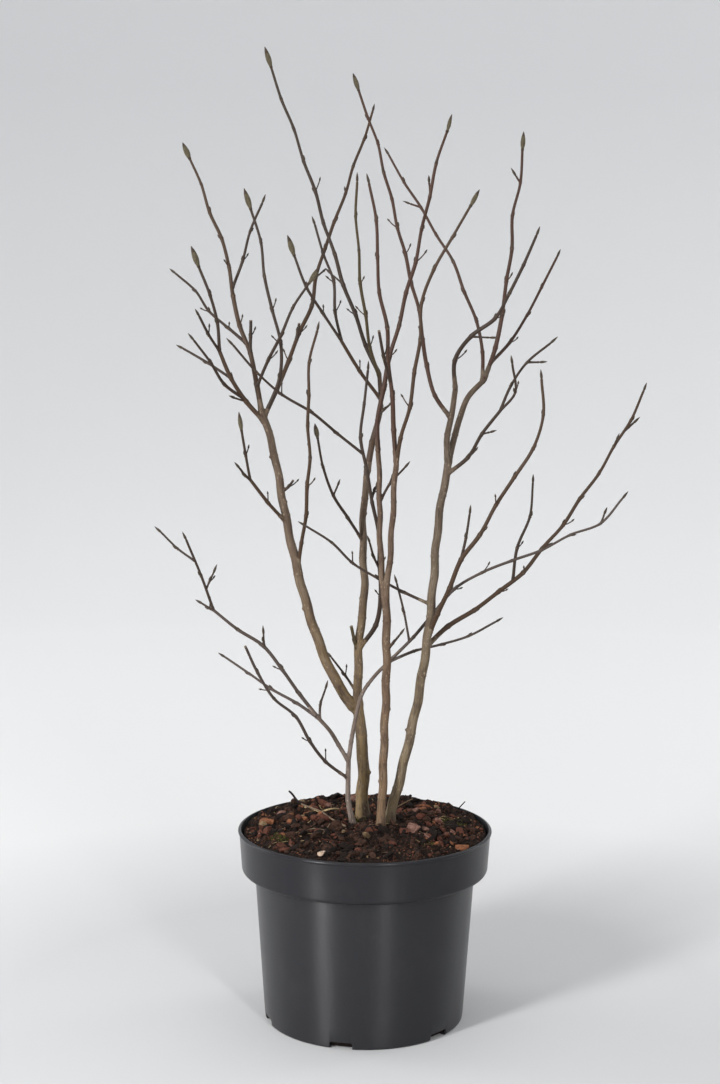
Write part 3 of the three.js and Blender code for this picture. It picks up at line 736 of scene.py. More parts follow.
# %% The foot of a twig, in old bark
def sleeve_line(limb):
    """The first stretch of a twig, a little wider than the twig that leaves it."""
    count = len(limb["points"]) - 1
    long = min(SLEEVE, limb["long"] * 0.4)
    places = np.linspace(0, count * long / limb["long"], 9)
    centres = curve_through(limb["points"], places)
    radii = with_collar(limb, centres, np.interp(places, range(count + 1), limb["radii"]) * SLEEVE_WIDTH)
    return centres, radii


# %% Melt one stem and its boughs together
def melted(name, heap):
    """One closed skin round all the tubes of a heap."""
    rough = make_piece("rough_" + name, heap, [])
    remesh = rough.modifiers.new("melt", "REMESH")
    remesh.mode = "VOXEL"
    remesh.voxel_size = VOXEL * MM
    smooth = rough.modifiers.new("soften", "SMOOTH")
    smooth.iterations = SOFTENING
    shown = rough.evaluated_get(bpy.context.evaluated_depsgraph_get())
    mesh = bpy.data.meshes.new_from_object(shown)
    bpy.data.objects.remove(rough)
    mesh.name = name
    piece = bpy.data.objects.new(name, mesh)
    bpy.context.scene.collection.objects.link(piece)
    return piece


# %% Where each point lies on its limb
STOPS = 60            # places on each limb that a point is compared with
FORK_BLUR = 2.0       # a point is plainly on one limb when the next one is this much further off
FAR = 1e9


def limb_places(points, names):
    """Each point's way along the wood, its place in the grain, and how plainly it is on one limb."""
    best = np.full(len(points), FAR)
    second = np.full(len(points), FAR)
    walked = np.zeros(len(points))
    grain = np.zeros((len(points), 3))
    base = {}
    for name in names:
        limb = GROWN[name]
        centres = curve_through(limb["points"], np.linspace(0, len(limb["points"]) - 1, STOPS))
        node_shares = np.linspace(0, 1, len(limb["radii"]))
        radii = np.interp(np.linspace(0, 1, STOPS), node_shares, limb["radii"])
        steps = distance_along(centres)
        carrier = limb.get("on")
        base[name] = base[carrier] + GROWN[carrier]["long"] * limb["at"] if carrier in base else 0
        frames = ring_frames(centres)
        gaps = np.full(len(points), FAR)
        for i in range(STOPS - 1):
            span = centres[i + 1] - centres[i]
            share = np.clip((points - centres[i]) @ span / (span @ span), 0, 1)
            offset = points - (centres[i] + np.outer(share, span))
            gap = np.linalg.norm(offset, axis=1) - radii[i]
            closer = gap < gaps
            gaps[closer] = gap[closer]
            better = closer & (gap < best)
            way, side, other = frames[i]
            along_limb = base[name] + steps[i] + share * np.linalg.norm(span)
            walked[better] = along_limb[better]
            grain[better] = np.stack([offset @ side, offset @ other, along_limb], axis=1)[better]
        passed = gaps < best
        second = np.where(passed, best, np.minimum(second, gaps))
        best = np.minimum(best, gaps)
    return walked, grain, np.clip((second - best) / FORK_BLUR, 0, 1)


# %% The bark's relief
RIDGE_DEPTH = 0.20    # along the grain, on wood 12 mm thick
LUMP_DEPTH = 0.35
FULL_RELIEF = 6       # radius of wood that shows these two in full
PORE_HEIGHT = 0.22
PORE_SIZE = 0.22      # share of the room between two pores
YEAR_RING_HEIGHT = 0.35
YEAR_RING_WIDTH = 1.1
YEAR_RING_SPACING = 67
YEAR_RING_SHIFT = 9   # so that the rings of two stems aren't level
FORK_RELIEF = 0.35    # share of the relief that is left in a fork
RIDGE_PITCH = np.array([0.85, 0.85, 0.10])     # waves to a millimetre: twice across the grain, and along it
WRINKLE_PITCH = np.array([1.9, 1.9, 0.35])
LUMP_PITCH = np.array([0.12, 0.12, 0.055])
PORE_PITCH = np.array([0.24, 0.24, 0.17])
KNOB_SOFTNESS = 0.7
KNOBS = [             # limb, how far along it, way round it, height, width
    ("stem_main", 0.42, (1, -0.4, 0), 1.9, 3.2),
    ("stem_main", 0.80, (-0.8, -0.6, 0), 1.2, 3.4),
    ("stem_right", 0.27, (-1, -0.3, 0), 2.4, 2.4),
    ("stem_right", 0.43, (0.6, -0.8, 0), 1.1, 3.0),
    ("stem_centre", 0.20, (-1, -0.2, 0), 1.2, 3.4),
    ("stem_centre", 0.52, (1, -0.3, 0), 1.0, 2.6),
    ("bough_left", 0.37, (-1, -0.4, 0.3), 1.6, 3.2),
    ("bough_left", 0.72, (1, -0.5, 0), 1.4, 3.0),
    ("bough_left", 0.86, (-1, -0.2, 0), 1.3, 2.6),
    ("bough_middle", 0.48, (-1, -0.6, 0), 1.1, 2.8),
    ("bough_middle", 0.84, (1, -0.5, 0), 1.2, 2.6),
]


def knob_lift(points):
    """How far the knobs push each point out."""
    lift = np.zeros(len(points))
    for name, at, way_out, height, width in KNOBS:
        top = point_on(name, at) + unit(np.array(way_out, float)) * radius_at(name, at)
        lift += height * np.exp(-((points - top) ** 2).sum(1) / (width * KNOB_SOFTNESS) ** 2)
    return lift


def bark_lift(grain, walked, plain, seed):
    """How far ridges, pores and rings push each point out, in millimetres."""
    lift = np.zeros(len(grain))
    shift = seed * 31.7
    up_shift = np.array([0, 0, shift])
    side_shift = np.array([shift, 0, 0])
    for i, place in enumerate(grain):
        thick = math.hypot(place[0], place[1]) / FULL_RELIEF
        ridges = noise.noise(Vector(place * RIDGE_PITCH + up_shift))
        wrinkles = noise.noise(Vector(place * WRINKLE_PITCH + up_shift))
        lumps = noise.noise(Vector(place * LUMP_PITCH + side_shift))
        nearest, corners = noise.voronoi(Vector(place * PORE_PITCH + side_shift))
        is_open = math.sin(corners[0].x * 91.7) > -0.1   # true of about half of the pores, in no order
        pore = max(0.0, 1 - nearest[0] / PORE_SIZE) if is_open else 0.0
        ring = (walked[i] + YEAR_RING_SHIFT * math.sin(seed)) % YEAR_RING_SPACING - YEAR_RING_SPACING / 2
        lift[i] = (RIDGE_DEPTH * thick * (ridges + 0.5 * wrinkles) + LUMP_DEPTH * thick * lumps
                   + PORE_HEIGHT * min(1.0, pore * 1.6)
                   + YEAR_RING_HEIGHT * math.exp(-(ring / YEAR_RING_WIDTH) ** 2))
    return lift * (FORK_RELIEF + (1 - FORK_RELIEF) * plain)


# %% Shape each stem's skin
def twigs_on(names):
    return [limb for limb in GROWN.values() if limb["group"] == "twig" and limb["on"] in names]


def point_values(mesh, kind):
    """Each point's place ("co") or the way it faces ("normal"), a row for each point."""
    values = np.empty(len(mesh.vertices) * 3)
    mesh.vertices.foreach_get(kind, values)
    return values.reshape(-1, 3)


WOOD = {}
for seed, (piece_name, names) in enumerate(WOOD_GROUPS.items()):
    heap = Heap()
    for name in names:
        heap.add(*tube(*rounded(*wood_line(name)), WOOD_SIDES))
    for twig in twigs_on(names):
        heap.add(*tube(*rounded(*sleeve_line(twig)), WOOD_SIDES))
    piece = melted(piece_name, heap)
    mesh = piece.data
    points = point_values(mesh, "co") / MM
    normals = point_values(mesh, "normal")
    walked, grain, plain = limb_places(points, names)
    lift = bark_lift(grain, walked, plain, seed + 1) + knob_lift(points)
    mesh.vertices.foreach_set("co", ((points + normals * lift[:, None]) * MM).ravel())
    grain_layer = mesh.attributes.new("grain", "FLOAT_VECTOR", "POINT")
    grain_layer.data.foreach_set("vector", (grain * MM).ravel())
    age_layer = mesh.attributes.new("age", "FLOAT", "POINT")
    age_layer.data.foreach_set("value", 1 - walked / walked.max())
    mesh.polygons.foreach_set("use_smooth", [True] * len(mesh.polygons))
    mesh.update()
    WOOD[piece_name] = piece
    print(piece_name, "points:", len(points), "- longest way from the mix, mm:", round(walked.max()))

# %% [markdown]
# ### The bark's finish
#
# Young magnolia bark is a thin skin: olive to tan on the stems, browner on the boughs, with a greyish film,
# darker patches, fine dark lines along the grain and small pale pores. The colours run along the limb by
# `age`, which is one at the mix and falls to nothing at the furthest bough. Every stem has its own three
# colours, because no two in the picture are quite alike.

# %% Bark
BARK_COLORS = {        # at the foot, on the boughs, and the film over both
    "wood_main": ((0.138, 0.094, 0.043), (0.062, 0.041, 0.028), (0.135, 0.104, 0.072)),
    "wood_low": ((0.116, 0.089, 0.074), (0.084, 0.061, 0.048), (0.160, 0.134, 0.116)),
    "wood_centre": ((0.122, 0.076, 0.043), (0.056, 0.034, 0.022), (0.134, 0.098, 0.068)),
    "wood_right": ((0.122, 0.091, 0.052), (0.054, 0.037, 0.025), (0.138, 0.111, 0.082)),
}
DARK_LINE = 0.42       # tone of the dark lines, as a share of the boughs' colour
PALE_PORE = 1.9        # tone of the pores, as a share of the film's
BARK_RELIEF = 0.0006   # metres


def bark_finish(name, foot_color, bough_color, film_color):
    finish = new_finish(name, foot_color, 0.72, 0.2)
    age = finish.node_tree.nodes.new("ShaderNodeAttribute")
    age.attribute_name = "age"
    grown_up = between(finish, age.outputs["Fac"], 0.30, 0.85)
    body = blend_colors(finish, grown_up, bough_color, foot_color)
    film = cloud(finish, grain_space(finish, (1, 1, 0.35)), 160, 4, 0.6)
    body = blend_colors(finish, between(finish, film, 0.42, 0.72, 0.0, 0.75), body, film_color)
    patches = cloud(finish, grain_space(finish, (1, 1, 0.4)), 85, 4, 0.65)
    body = blend_colors(finish, between(finish, patches, 0.48, 0.62, 0.0, 0.85), body, bough_color)
    lines = cloud(finish, grain_space(finish, (1, 1, 0.07)), 900, 3, 0.6)
    dark = tuple(channel * DARK_LINE for channel in bough_color)
    body = blend_colors(finish, between(finish, lines, 0.52, 0.70, 0.0, 0.8), body, dark)
    pores = add_node(finish, "ShaderNodeTexVoronoi", Scale=240.0)
    link(finish, grain_space(finish, (1, 1, 0.6)), pores.inputs["Vector"])
    pale = tuple(min(1.0, channel * PALE_PORE) for channel in film_color)
    pore_share = between(finish, pores.outputs["Distance"], 0.22, 0.12, 0.0, 0.4)
    paint(finish, blend_colors(finish, pore_share, body, pale))
    roughen(finish, film, 0.62, 0.84)
    emboss(finish, lines, BARK_RELIEF)
    return finish


for name, piece in WOOD.items():
    piece.data.materials.append(bark_finish(name.replace("wood", "bark"), *BARK_COLORS[name]))
    settle(piece, "stem_bark", *WOOD_GROUPS[name])

# %% [markdown]
# ## The twigs
#
# A magnolia shoot is smooth and reddish brown, a little thicker at each node, and a fine raised line runs
# right round it there, the scar of the sheath that wrapped the young leaf. Twigs are too thin for a remesh,
# so each is one tube whose rings crowd together at the nodes. The finish is dealt out by twig: the long young
# shoots are brown or red brown, two are olive, the low ones are greyish, and thin old ones are nearly black.

# %% Sizes of the twigs
TWIG_SIDES = 12
NODE_SWELL = 0.15
NODE_REACH = 2.2
SHEATH_SWELL = 0.05   # a second, longer swelling just below the node
SHEATH_BELOW = 3
SHEATH_REACH = 4
SCAR_HEIGHT = 0.16
SCAR_WIDTH = 0.45
NODE_RINGS = (0, 0.4, 0.9, 1.6, 2.6, 4.2, 6.5)   # distances of rings from a node
LONGEST_STEP = 4.5
OUT_OF_ROUND = 0.05

TONES = ("brown", "red", "olive", "dark", "grey", "cut")
TWIGS_BY_TONE = {
    "brown": {"right_front", "straight", "upper", "middle", "outer", "arching", "long_right", "inner", "side",
              "pair"},
    "red": {"front", "right_upper", "right_upper_side", "tall", "crossing", "right_tall"},
    "olive": {"top_front", "stub"},
    "grey": {"low_outer", "low_front", "right_low", "lowest", "low_back"},
}


def tone_of(name):
    """The number of a twig's tone. A twig that isn't named above is a dark one."""
    for tone, names in TWIGS_BY_TONE.items():
        if name in names:
            return TONES.index(tone)
    return TONES.index("dark")


def ring_places(limb):
    """Where a twig's rings go, counted in internodes: close together at its nodes."""
    count = len(limb["points"]) - 1
    internode = limb["long"] / count
    near = [step / internode for step in NODE_RINGS if step < internode * 0.45]
    free = 1 - 2 * near[-1]
    middle = np.linspace(near[-1], 1 - near[-1], max(2, math.ceil(free * internode / LONGEST_STEP)))
    one = sorted({*near, *middle.tolist(), *(1 - step for step in near[1:])})
    return np.concatenate([np.array(one) + i for i in range(count)] + [[count]])


def twig_radii(limb, places, taper):
    """The radii of a twig's rings, with the swellings and scars at its nodes."""
    count = len(limb["points"]) - 1
    internode = limb["long"] / count
    nearest = np.clip(np.round(places), 1, max(1, count - 1))
    off = (places - nearest) * internode
    at_node = NODE_SWELL * np.exp(-(off / NODE_REACH) ** 2)
    below_node = SHEATH_SWELL * np.exp(-((off + SHEATH_BELOW) / SHEATH_REACH) ** 2)
    return taper * (1 + at_node + below_node) + SCAR_HEIGHT * np.exp(-(off / SCAR_WIDTH) ** 2)


def out_of_round(seed):
    """A shape that makes a tube slightly oval and three-sided, and turns as it goes along."""
    def shape(ring, turns):
        oval = OUT_OF_ROUND * np.cos(2 * turns + seed + ring * 0.13)
        return 1 + oval + 0.02 * np.cos(3 * turns - ring * 0.4)
    return shape


def has_fork(name):
    """Whether another limb grows on from the end of this one."""
    return any(other.get("on") == name and other["at"] >= 0.95 for other in GROWN.values())


# %% Build the twigs
twigs = Heap()
for seed, limb in enumerate(one for one in GROWN.values() if one["group"] == "twig"):
    name = limb["name"]
    count = len(limb["points"]) - 1
    places = ring_places(limb)
    centres = curve_through(limb["points"], places)
    taper = np.interp(places, range(count + 1), limb["radii"])
    radii = with_collar(limb, centres, twig_radii(limb, places, taper))
    limb["stub"] = limb["end"] == "cut" and not has_fork(name)
    if not limb["stub"]:
        centres, radii = rounded(centres, radii)
    twigs.add(*tube(centres, radii, TWIG_SIDES, out_of_round(seed)), tone_of(name))
print("twig faces:", len(twigs.faces))

# %% [markdown]
# ### Blunt ends
#
# Where a shoot was cut or broke off, its end is a flat face of dry wood with a thin rim of bark. A low disc
# with a sunken middle goes on each such end.

# %% Cut ends
CUT_RISES = np.array([-0.5, 0.25, 0.4, 0.4, 0.1])           # millimetres past the end
CUT_WIDTHS = np.array([0.94, 1.05, 0.96, 0.72, 0.3])        # shares of the twig's radius there


def end_way(limb):
    """The way in which a limb's last internode points."""
    return unit(limb["points"][-1] - limb["points"][-2])


for limb in GROWN.values():
    if limb.get("stub"):
        centres = limb["points"][-1] + np.outer(CUT_RISES, end_way(limb))
        twigs.add(*tube(centres, CUT_WIDTHS * limb["radii"][-1], TWIG_SIDES), TONES.index("cut"))
print("cut ends:", sum(limb.get("stub", False) for limb in GROWN.values()))

# %% [markdown]
# ### Spurs
#
# A spur is a side shoot that grows only a few millimetres a year, so it is short, sways a little and is
# covered in small knuckles, the rings of all those years.

# %% Spurs
SPUR_STEPS = np.array([0, 0.12, 0.2, 0.28, 0.42, 0.6, 0.75, 0.86, 0.93, 1.0])
SPUR_WIDTHS = np.array([1.25, 1.25, 1.1, 1.0, 0.94, 0.9, 0.88, 0.92, 1.0, 0.9])
SPUR_SWAY = 0.05      # share of its length
KNUCKLES = 0.16       # how far they stand out, as a share of its radius
KNUCKLE_TURNS = 1.9   # radians to a millimetre
THIN_SIDES = 8        # a thin shoot's

for seed, shoot in enumerate(one for one in SHOOTS if one["is_spur"]):
    long = shoot["radius"] + shoot["long"]
    sway = np.sin(SPUR_STEPS * math.pi) * SPUR_SWAY * long
    centres = (shoot["root"] + np.outer(SPUR_STEPS * long, shoot["aim"])
               + np.outer(sway, np.cross(shoot["aim"], shoot["way"])))
    knuckles = 1 + KNUCKLES * np.cos(SPUR_STEPS * long * KNUCKLE_TURNS + seed) ** 2
    twigs.add(*tube(centres, SPUR_THICK / 2 * SPUR_WIDTHS * knuckles, THIN_SIDES), tone_of(shoot["on"]))

# %% [markdown]
# ### Fine shoots
#
# Finer twigs than the frame's follow the same rule one step further. On the older, lower part of a twig,
# across from some of its side buds, a thin shoot no longer than a fingernail leaves the twig steeply and
# bends upwards. It is left out where it would come near another limb, so the gaps in the crown stay as open
# as before.

# %% Fine shoots
FINE_SHARE = 0.5      # of the nodes low on a twig that carry a side bud
FINE_REACH = 0.62     # share of a twig above which its young wood has none yet
FINE_SHORT = 4
FINE_LONG = 12
FINE_THICK = 1.5
FINE_SPREAD = 48      # degrees from the twig, at its foot
FINE_RISE = 0.55      # how strongly it bends upwards
FINE_WIDTHS = np.array([1.35, 1.2, 1.0, 0.96, 0.93, 0.9, 0.9, 0.86])
FINE_CLEARANCE = 4    # room kept free past its tip

FINE_SHOOTS = []
draw = random.Random(71)
for shoot in SHOOTS:
    chance = draw.random()
    long = draw.uniform(FINE_SHORT, FINE_LONG)
    last = len(GROWN[shoot["on"]]["points"]) - 1
    if shoot["is_spur"] or chance > FINE_SHARE or shoot["node"] > last * FINE_REACH:
        continue
    spread = math.radians(FINE_SPREAD)
    aim = shoot["way"] * math.cos(spread) - shoot["out"] * math.sin(spread)
    end = unit(aim + FINE_RISE * np.array([0, 0, 1.0]))
    steps = np.linspace(0, 1, len(FINE_WIDTHS))
    reach = shoot["radius"] + long
    centres = shoot["root"] + reach * (np.outer(steps - steps**2 / 2, aim) + np.outer(steps**2 / 2, end))
    if not is_clear(shoot["root"], centres[-1] + end * FINE_CLEARANCE, shoot["on"]):
        continue
    twigs.add(*tube(centres, FINE_THICK / 2 * FINE_WIDTHS, THIN_SIDES), tone_of(shoot["on"]))
    FINE_SHOOTS.append(dict(tip=centres[-1], way=end))
print("fine shoots:", len(FINE_SHOOTS))

# %% [markdown]
# ### The twigs' finish
#
# The colour of a twig belongs to that twig, so each tone is a finish of its own with a plain base colour.
# What falls anywhere, a faint mottling in gloss and a fine grain, comes from noise.

# %% Twig finishes
def twig_finish(name, color, roughness=0.5):
    finish = new_finish(name, color, roughness, 0.2)
    space = own_space(finish, (1, 1, 0.4))
    roughen(finish, cloud(finish, space, 260, 3), roughness - 0.08, roughness + 0.14)
    emboss(finish, cloud(finish, space, 1400, 4), 0.00025)
    return finish


TWIG_COLORS = {
    "brown": (0.036, 0.020, 0.011),
    "red": (0.036, 0.017, 0.0105),
    "olive": (0.037, 0.026, 0.011),
    "dark": (0.024, 0.0145, 0.0095),
    "grey": (0.042, 0.030, 0.024),
    "cut": (0.140, 0.105, 0.072),
}
TWIG_FINISHES = [twig_finish("twig_" + tone, TWIG_COLORS[tone]) for tone in TONES]
MASS_NODES = list(MASSES)
settle(make_piece("twigs", twigs, TWIG_FINISHES), "twigs", *MASS_NODES)

# %% [markdown]
# ## The flower buds
#
# The most telling part of a winter magnolia is the fat bud at a shoot's tip, wrapped in one furry scale. It
# is widest below its middle, leans a little, and comes to a dark point. Its down is olive brown and lies
# forward. The body is a tube with a seam along one side, and the down is many short closed spikes, because
# only real hairs give the bud its soft outline.

# %% Sizes of the flower buds
BUD_LONG = 24
BUD_THICK = 6.4
BUD_OUTLINE = [        # share of the length, share of the thickness
    (0, 0.20), (0.03, 0.27), (0.07, 0.31), (0.12, 0.355), (0.2, 0.43), (0.3, 0.485), (0.4, 0.5),
    (0.5, 0.482), (0.6, 0.435), (0.7, 0.365), (0.8, 0.275), (0.88, 0.185), (0.94, 0.115), (0.98, 0.06),
    (1, 0.02),
]
SLIM_BUDS = {           # limb: its bud's length and thickness, as shares of a full bud's
    "tall": (0.85, 0.72),
    "arching": (0.85, 0.78),
    "right_upper": (0.92, 0.88),
    "side_up": (0.88, 0.85),
    "small": (0.9, 0.9),
}
BUD_SIDES = 18
BUD_BEND = 1.3
SEAM_DEPTH = 0.035
SEAM_WIDTH = 0.35     # radians
FOOT_RISES = np.array([-1.4, -0.9, -0.2, 0.5, 1.1, 1.5])      # a low ring of scale at the bud's foot
FOOT_WIDTHS = np.array([1.0, 1.16, 1.22, 1.24, 1.16, 1.02])
HAIRS = 210
HAIR_LONG = 1.5
HAIR_THICK = 0.13
BUD_TONES = ("down", "scale", "hair")


# %% A bud's body
def bud_line(tip, way, lean_to, long, thick, outline, bend):
    """Centres and radii of a bud that stands on a tip and bends a little to one side."""
    shares = np.array([share for share, _ in outline])
    centres = tip + np.outer(shares * long, way) + np.outer(np.sin(shares * 1.7) ** 2 * bend, lean_to)
    return centres, np.array([width for _, width in outline]) * thick


def seamed(depth):
    """A seam that runs up one side of a bud, with the scale a little flat beside it."""
    def shape(ring, turns):
        seam = np.exp(-((turns - math.pi) / SEAM_WIDTH) ** 2)
        return 1 - depth * seam + 0.02 * np.cos(2 * turns)
    return shape


def spike(root, aim, side, long, thick):
    """A closed spike with three sides, for a hair or a sprig of moss."""
    other = np.cross(aim, side)
    base = [root + (side * math.cos(turn) + other * math.sin(turn)) * thick / 2 for turn in (0, 2.09, 4.19)]
    return np.array([*base, root + aim * long]), [(0, 2, 1), (0, 1, 3), (1, 2, 3), (2, 0, 3)]


# %% Colours of a bud's body
DARK_TIP = 0.74       # share of a bud's length above which its scale is bare and dark


def bud_tones(points, faces, foot, way, long):
    """A tone for each face: downy below, bare and dark at the point."""
    heights = (points - foot) @ way / long
    is_dark = [heights[list(face)].mean() > DARK_TIP for face in faces]
    return [BUD_TONES.index("scale" if dark else "down") for dark in is_dark]


# %% The down on a bud
def add_hairs(heap, draw, centres, radii, way, lean_to):
    """Short spikes all over a bud, combed towards its point."""
    outline_shares = [share for share, _ in BUD_OUTLINE]
    for _ in range(HAIRS):
        share = draw.uniform(0.06, 0.97)
        ring = np.interp(share, outline_shares, range(len(BUD_OUTLINE)))
        centre = np.array([np.interp(ring, range(len(centres)), centres[:, k]) for k in range(3)])
        radius = float(np.interp(ring, range(len(radii)), radii))
        out = turned_about(lean_to, way, draw.uniform(0, 360))
        out = unit(out - way * (out @ way))
        aim = unit(way * draw.uniform(1.6, 3.2) + out + np.cross(way, out) * draw.uniform(-0.5, 0.5))
        root = centre + out * radius * 0.95
        side = unit(np.cross(aim, way))
        long = HAIR_LONG * draw.uniform(0.6, 1) * (1 - 0.5 * share)
        heap.add(*spike(root, aim, side, long, HAIR_THICK), BUD_TONES.index("hair"))


# %% Build the flower buds
buds = Heap()
draw = random.Random(11)
flower_ends = [limb for limb in GROWN.values() if limb["group"] == "twig" and limb["end"] == "flower"]
for limb in flower_ends:
    tip = limb["points"][-1]
    way = end_way(limb)
    lean_to = unit(turned_about(unit(np.cross(way, [0.3, 1, 0.1])), way, draw.uniform(0, 360)))
    long_share, thick_share = SLIM_BUDS.get(limb["name"], (1, 1))
    long = BUD_LONG * long_share * draw.uniform(0.88, 1.0)
    thick = BUD_THICK * thick_share * draw.uniform(0.86, 1.02)
    bend = BUD_BEND * draw.uniform(0.2, 1)
    centres, radii = bud_line(tip, way, lean_to, long, thick, BUD_OUTLINE, bend)
    points, faces = tube(centres, radii, BUD_SIDES, seamed(SEAM_DEPTH))
    buds.add(points, faces, bud_tones(points, faces, tip, way, long))
    foot_radii = FOOT_WIDTHS * max(limb["radii"][-1], thick * 0.24)
    buds.add(*tube(tip + np.outer(FOOT_RISES, way), foot_radii, BUD_SIDES), BUD_TONES.index("scale"))
    add_hairs(buds, draw, centres, radii, way, lean_to)
print("flower buds:", len(flower_ends))

# %% Finish of the flower buds
DOWN_COLOR = (0.058, 0.048, 0.029)
DOWN_DARK = (0.030, 0.022, 0.013)
DOWN_LIGHT = (0.084, 0.071, 0.042)


def down_finish():
    finish = new_finish("bud_down", DOWN_COLOR, 0.85, 0.2)
    shader = shader_of(finish)
    shader.inputs["Sheen Weight"].default_value = 0.18
    shader.inputs["Sheen Roughness"].default_value = 0.5
    shader.inputs["Sheen Tint"].default_value = (0.80, 0.78, 0.64, 1)
    fleck = cloud(finish, own_space(finish, (1, 1, 0.3)), 900, 3)
    paint(finish, blend_colors(finish, between(finish, fleck, 0.35, 0.7), DOWN_DARK, DOWN_LIGHT))
    emboss(finish, fleck, 0.0004)
    return finish


BUD_FINISHES = [
    down_finish(),
    twig_finish("bud_foot", (0.026, 0.016, 0.010), 0.6),
    twig_finish("bud_hair", (0.100, 0.086, 0.055), 0.7),
]
settle(make_piece("flower_buds", buds, BUD_FINISHES), "twigs", *MASS_NODES)

# %% [markdown]
# ## The small buds
#
# The buds along a shoot are slim, pointed and pressed towards it. Under each one is the scar of the leaf
# that fell, a pale half moon on a little shelf. Side twigs and spurs end in a slim bud too.

# %% Sizes of the small buds
SIDE_BUD_THICK = 3.2
LEAF_BUD_THICK = 3.2
FINE_BUD_LONG = 4.5
FINE_BUD_THICK = 2.1
SMALL_OUTLINE = [
    (0, 0.22), (0.08, 0.36), (0.2, 0.46), (0.34, 0.5), (0.5, 0.46), (0.66, 0.36), (0.8, 0.24), (0.92, 0.12),
    (1, 0.02),
]
SMALL_SIDES = 10
SMALL_SEAM = 0.03
SCAR = (2.6, 1.9, 0.9)   # width, height and depth of a leaf scar
SMALL_TONES = ("bud", "scar")


# %% Lumps
def ball(rows=6, sides=10):
    """Points and faces of a small round body of radius 1."""
    angles = np.linspace(0, math.pi, rows + 1)[1:-1]
    return tube(np.outer(-np.cos(angles), [0, 0, 1.0]), np.sin(angles), sides)


BALL = ball()


def lump(place, axes, sizes):
    """A rounded lump with its own three axes and half sizes."""
    points, faces = BALL
    return place + (points * np.array(sizes)) @ np.array(axes), faces


# %% Build the small buds
small = Heap()
draw = random.Random(23)
for shoot in SHOOTS:
    if shoot["is_spur"]:
        foot = shoot["root"] + shoot["aim"] * (shoot["radius"] + shoot["long"])
        way = shoot["aim"]
        long = LEAF_BUD_LONG
        thick = LEAF_BUD_THICK
    else:
        foot = shoot["root"] + shoot["out"] * shoot["radius"] * 0.55
        way = unit(shoot["aim"] + shoot["way"] * 0.5)
        long = SIDE_BUD_LONG
        thick = SIDE_BUD_THICK
    long *= draw.uniform(0.72, 0.98)
    thick *= draw.uniform(0.72, 0.95)
    inward = unit(shoot["way"] - way * (shoot["way"] @ way))
    line = bud_line(foot, way, inward, long, thick, SMALL_OUTLINE, 0.5)
    small.add(*tube(*line, SMALL_SIDES, seamed(SMALL_SEAM)), SMALL_TONES.index("bud"))
    shelf = shoot["root"] + shoot["out"] * (shoot["radius"] * 1.02) - shoot["way"] * 1.3
    across = np.cross(shoot["way"], shoot["out"])
    half_sizes = np.array(SCAR) / 2
    small.add(*lump(shelf, (across, shoot["way"], shoot["out"]), half_sizes), SMALL_TONES.index("scar"))
for limb in GROWN.values():
    if limb["group"] == "twig" and limb["end"] == "leaf":
        way = end_way(limb)
        inward = unit(np.cross(way, [0.2, 1, 0.3]))
        thick = LEAF_BUD_THICK * 0.9
        line = bud_line(limb["points"][-1], way, inward, LEAF_BUD_LONG, thick, SMALL_OUTLINE, 0.4)
        small.add(*tube(*line, SMALL_SIDES, seamed(SMALL_SEAM)), SMALL_TONES.index("bud"))
for shoot in FINE_SHOOTS:
    inward = unit(np.cross(shoot["way"], [0.2, 1, 0.3]))
    long = FINE_BUD_LONG * draw.uniform(0.8, 1.2)
    line = bud_line(shoot["tip"], shoot["way"], inward, long, FINE_BUD_THICK, SMALL_OUTLINE, 0.3)
    small.add(*tube(*line, THIN_SIDES), SMALL_TONES.index("bud"))
SMALL_FINISHES = [
    twig_finish("bud_small", (0.032, 0.023, 0.015), 0.6),
    twig_finish("leaf_scar", (0.070, 0.050, 0.034), 0.8),
]
settle(make_piece("small_buds", small, SMALL_FINISHES), "twigs", *MASS_NODES)

# %% [markdown]
# ## The pot
#
# A nursery pot is blown or moulded in thin black plastic. Its body tapers downwards, steps out into a collar
# under the rim, and has a rolled lip. Six notches in its foot let water out. Most of it is a profile turned
# about the upright axis, with round corners drawn as arcs, and the notches are then cut with a Boolean
# modifier.

# %% Sizes of the pot
POT_HEIGHT = 215
RIM_RADIUS = 141
COLLAR_RADIUS = 137
COLLAR_FOOT = 168
COLLAR_ROUNDING = 5
COLLAR_BULGE = 0.9     # the collar is this much wider a little above its foot
COLLAR_BULGE_HEIGHT = 18
NECK_RADIUS = 122.5
NECK_ROUNDING = 2.6    # where the body meets the collar's underside
FOOT_RADIUS = 111
FOOT_ROUNDING = 3
WALL = 1.8
FLOOR = 2.4
LIP = 1.4
LIP_HEIGHT = 4
POT_SIDES = 192
DRAIN_COUNT = 6
DRAIN_WIDTH = 25
DRAIN_HEIGHT = 8
DRAIN_DEPTH = 10
DRAIN_TURN = -11.7
DRAIN_ROUNDING = 2.2


def body_radius(height):
    """The body's outside radius at a height."""
    return FOOT_RADIUS + (NECK_RADIUS - FOOT_RADIUS) * height / COLLAR_FOOT


def arc(centre, radius, start, end, steps=6):
    """Points of an arc from a start to an end angle, in degrees."""
    angles = np.radians(np.linspace(start, end, steps))
    return [(centre[0] + radius * math.cos(turn), centre[1] + radius * math.sin(turn)) for turn in angles]


def wall_line(low, high, steps):
    """Points straight up the body's outside between two heights."""
    return [(body_radius(height), height) for height in np.linspace(low, high, steps)]


# %% The pot's profile
LIP_CENTRE = RIM_RADIUS - LIP
INNER_CORNER = (COLLAR_RADIUS - COLLAR_ROUNDING - WALL, COLLAR_FOOT + COLLAR_ROUNDING + WALL)

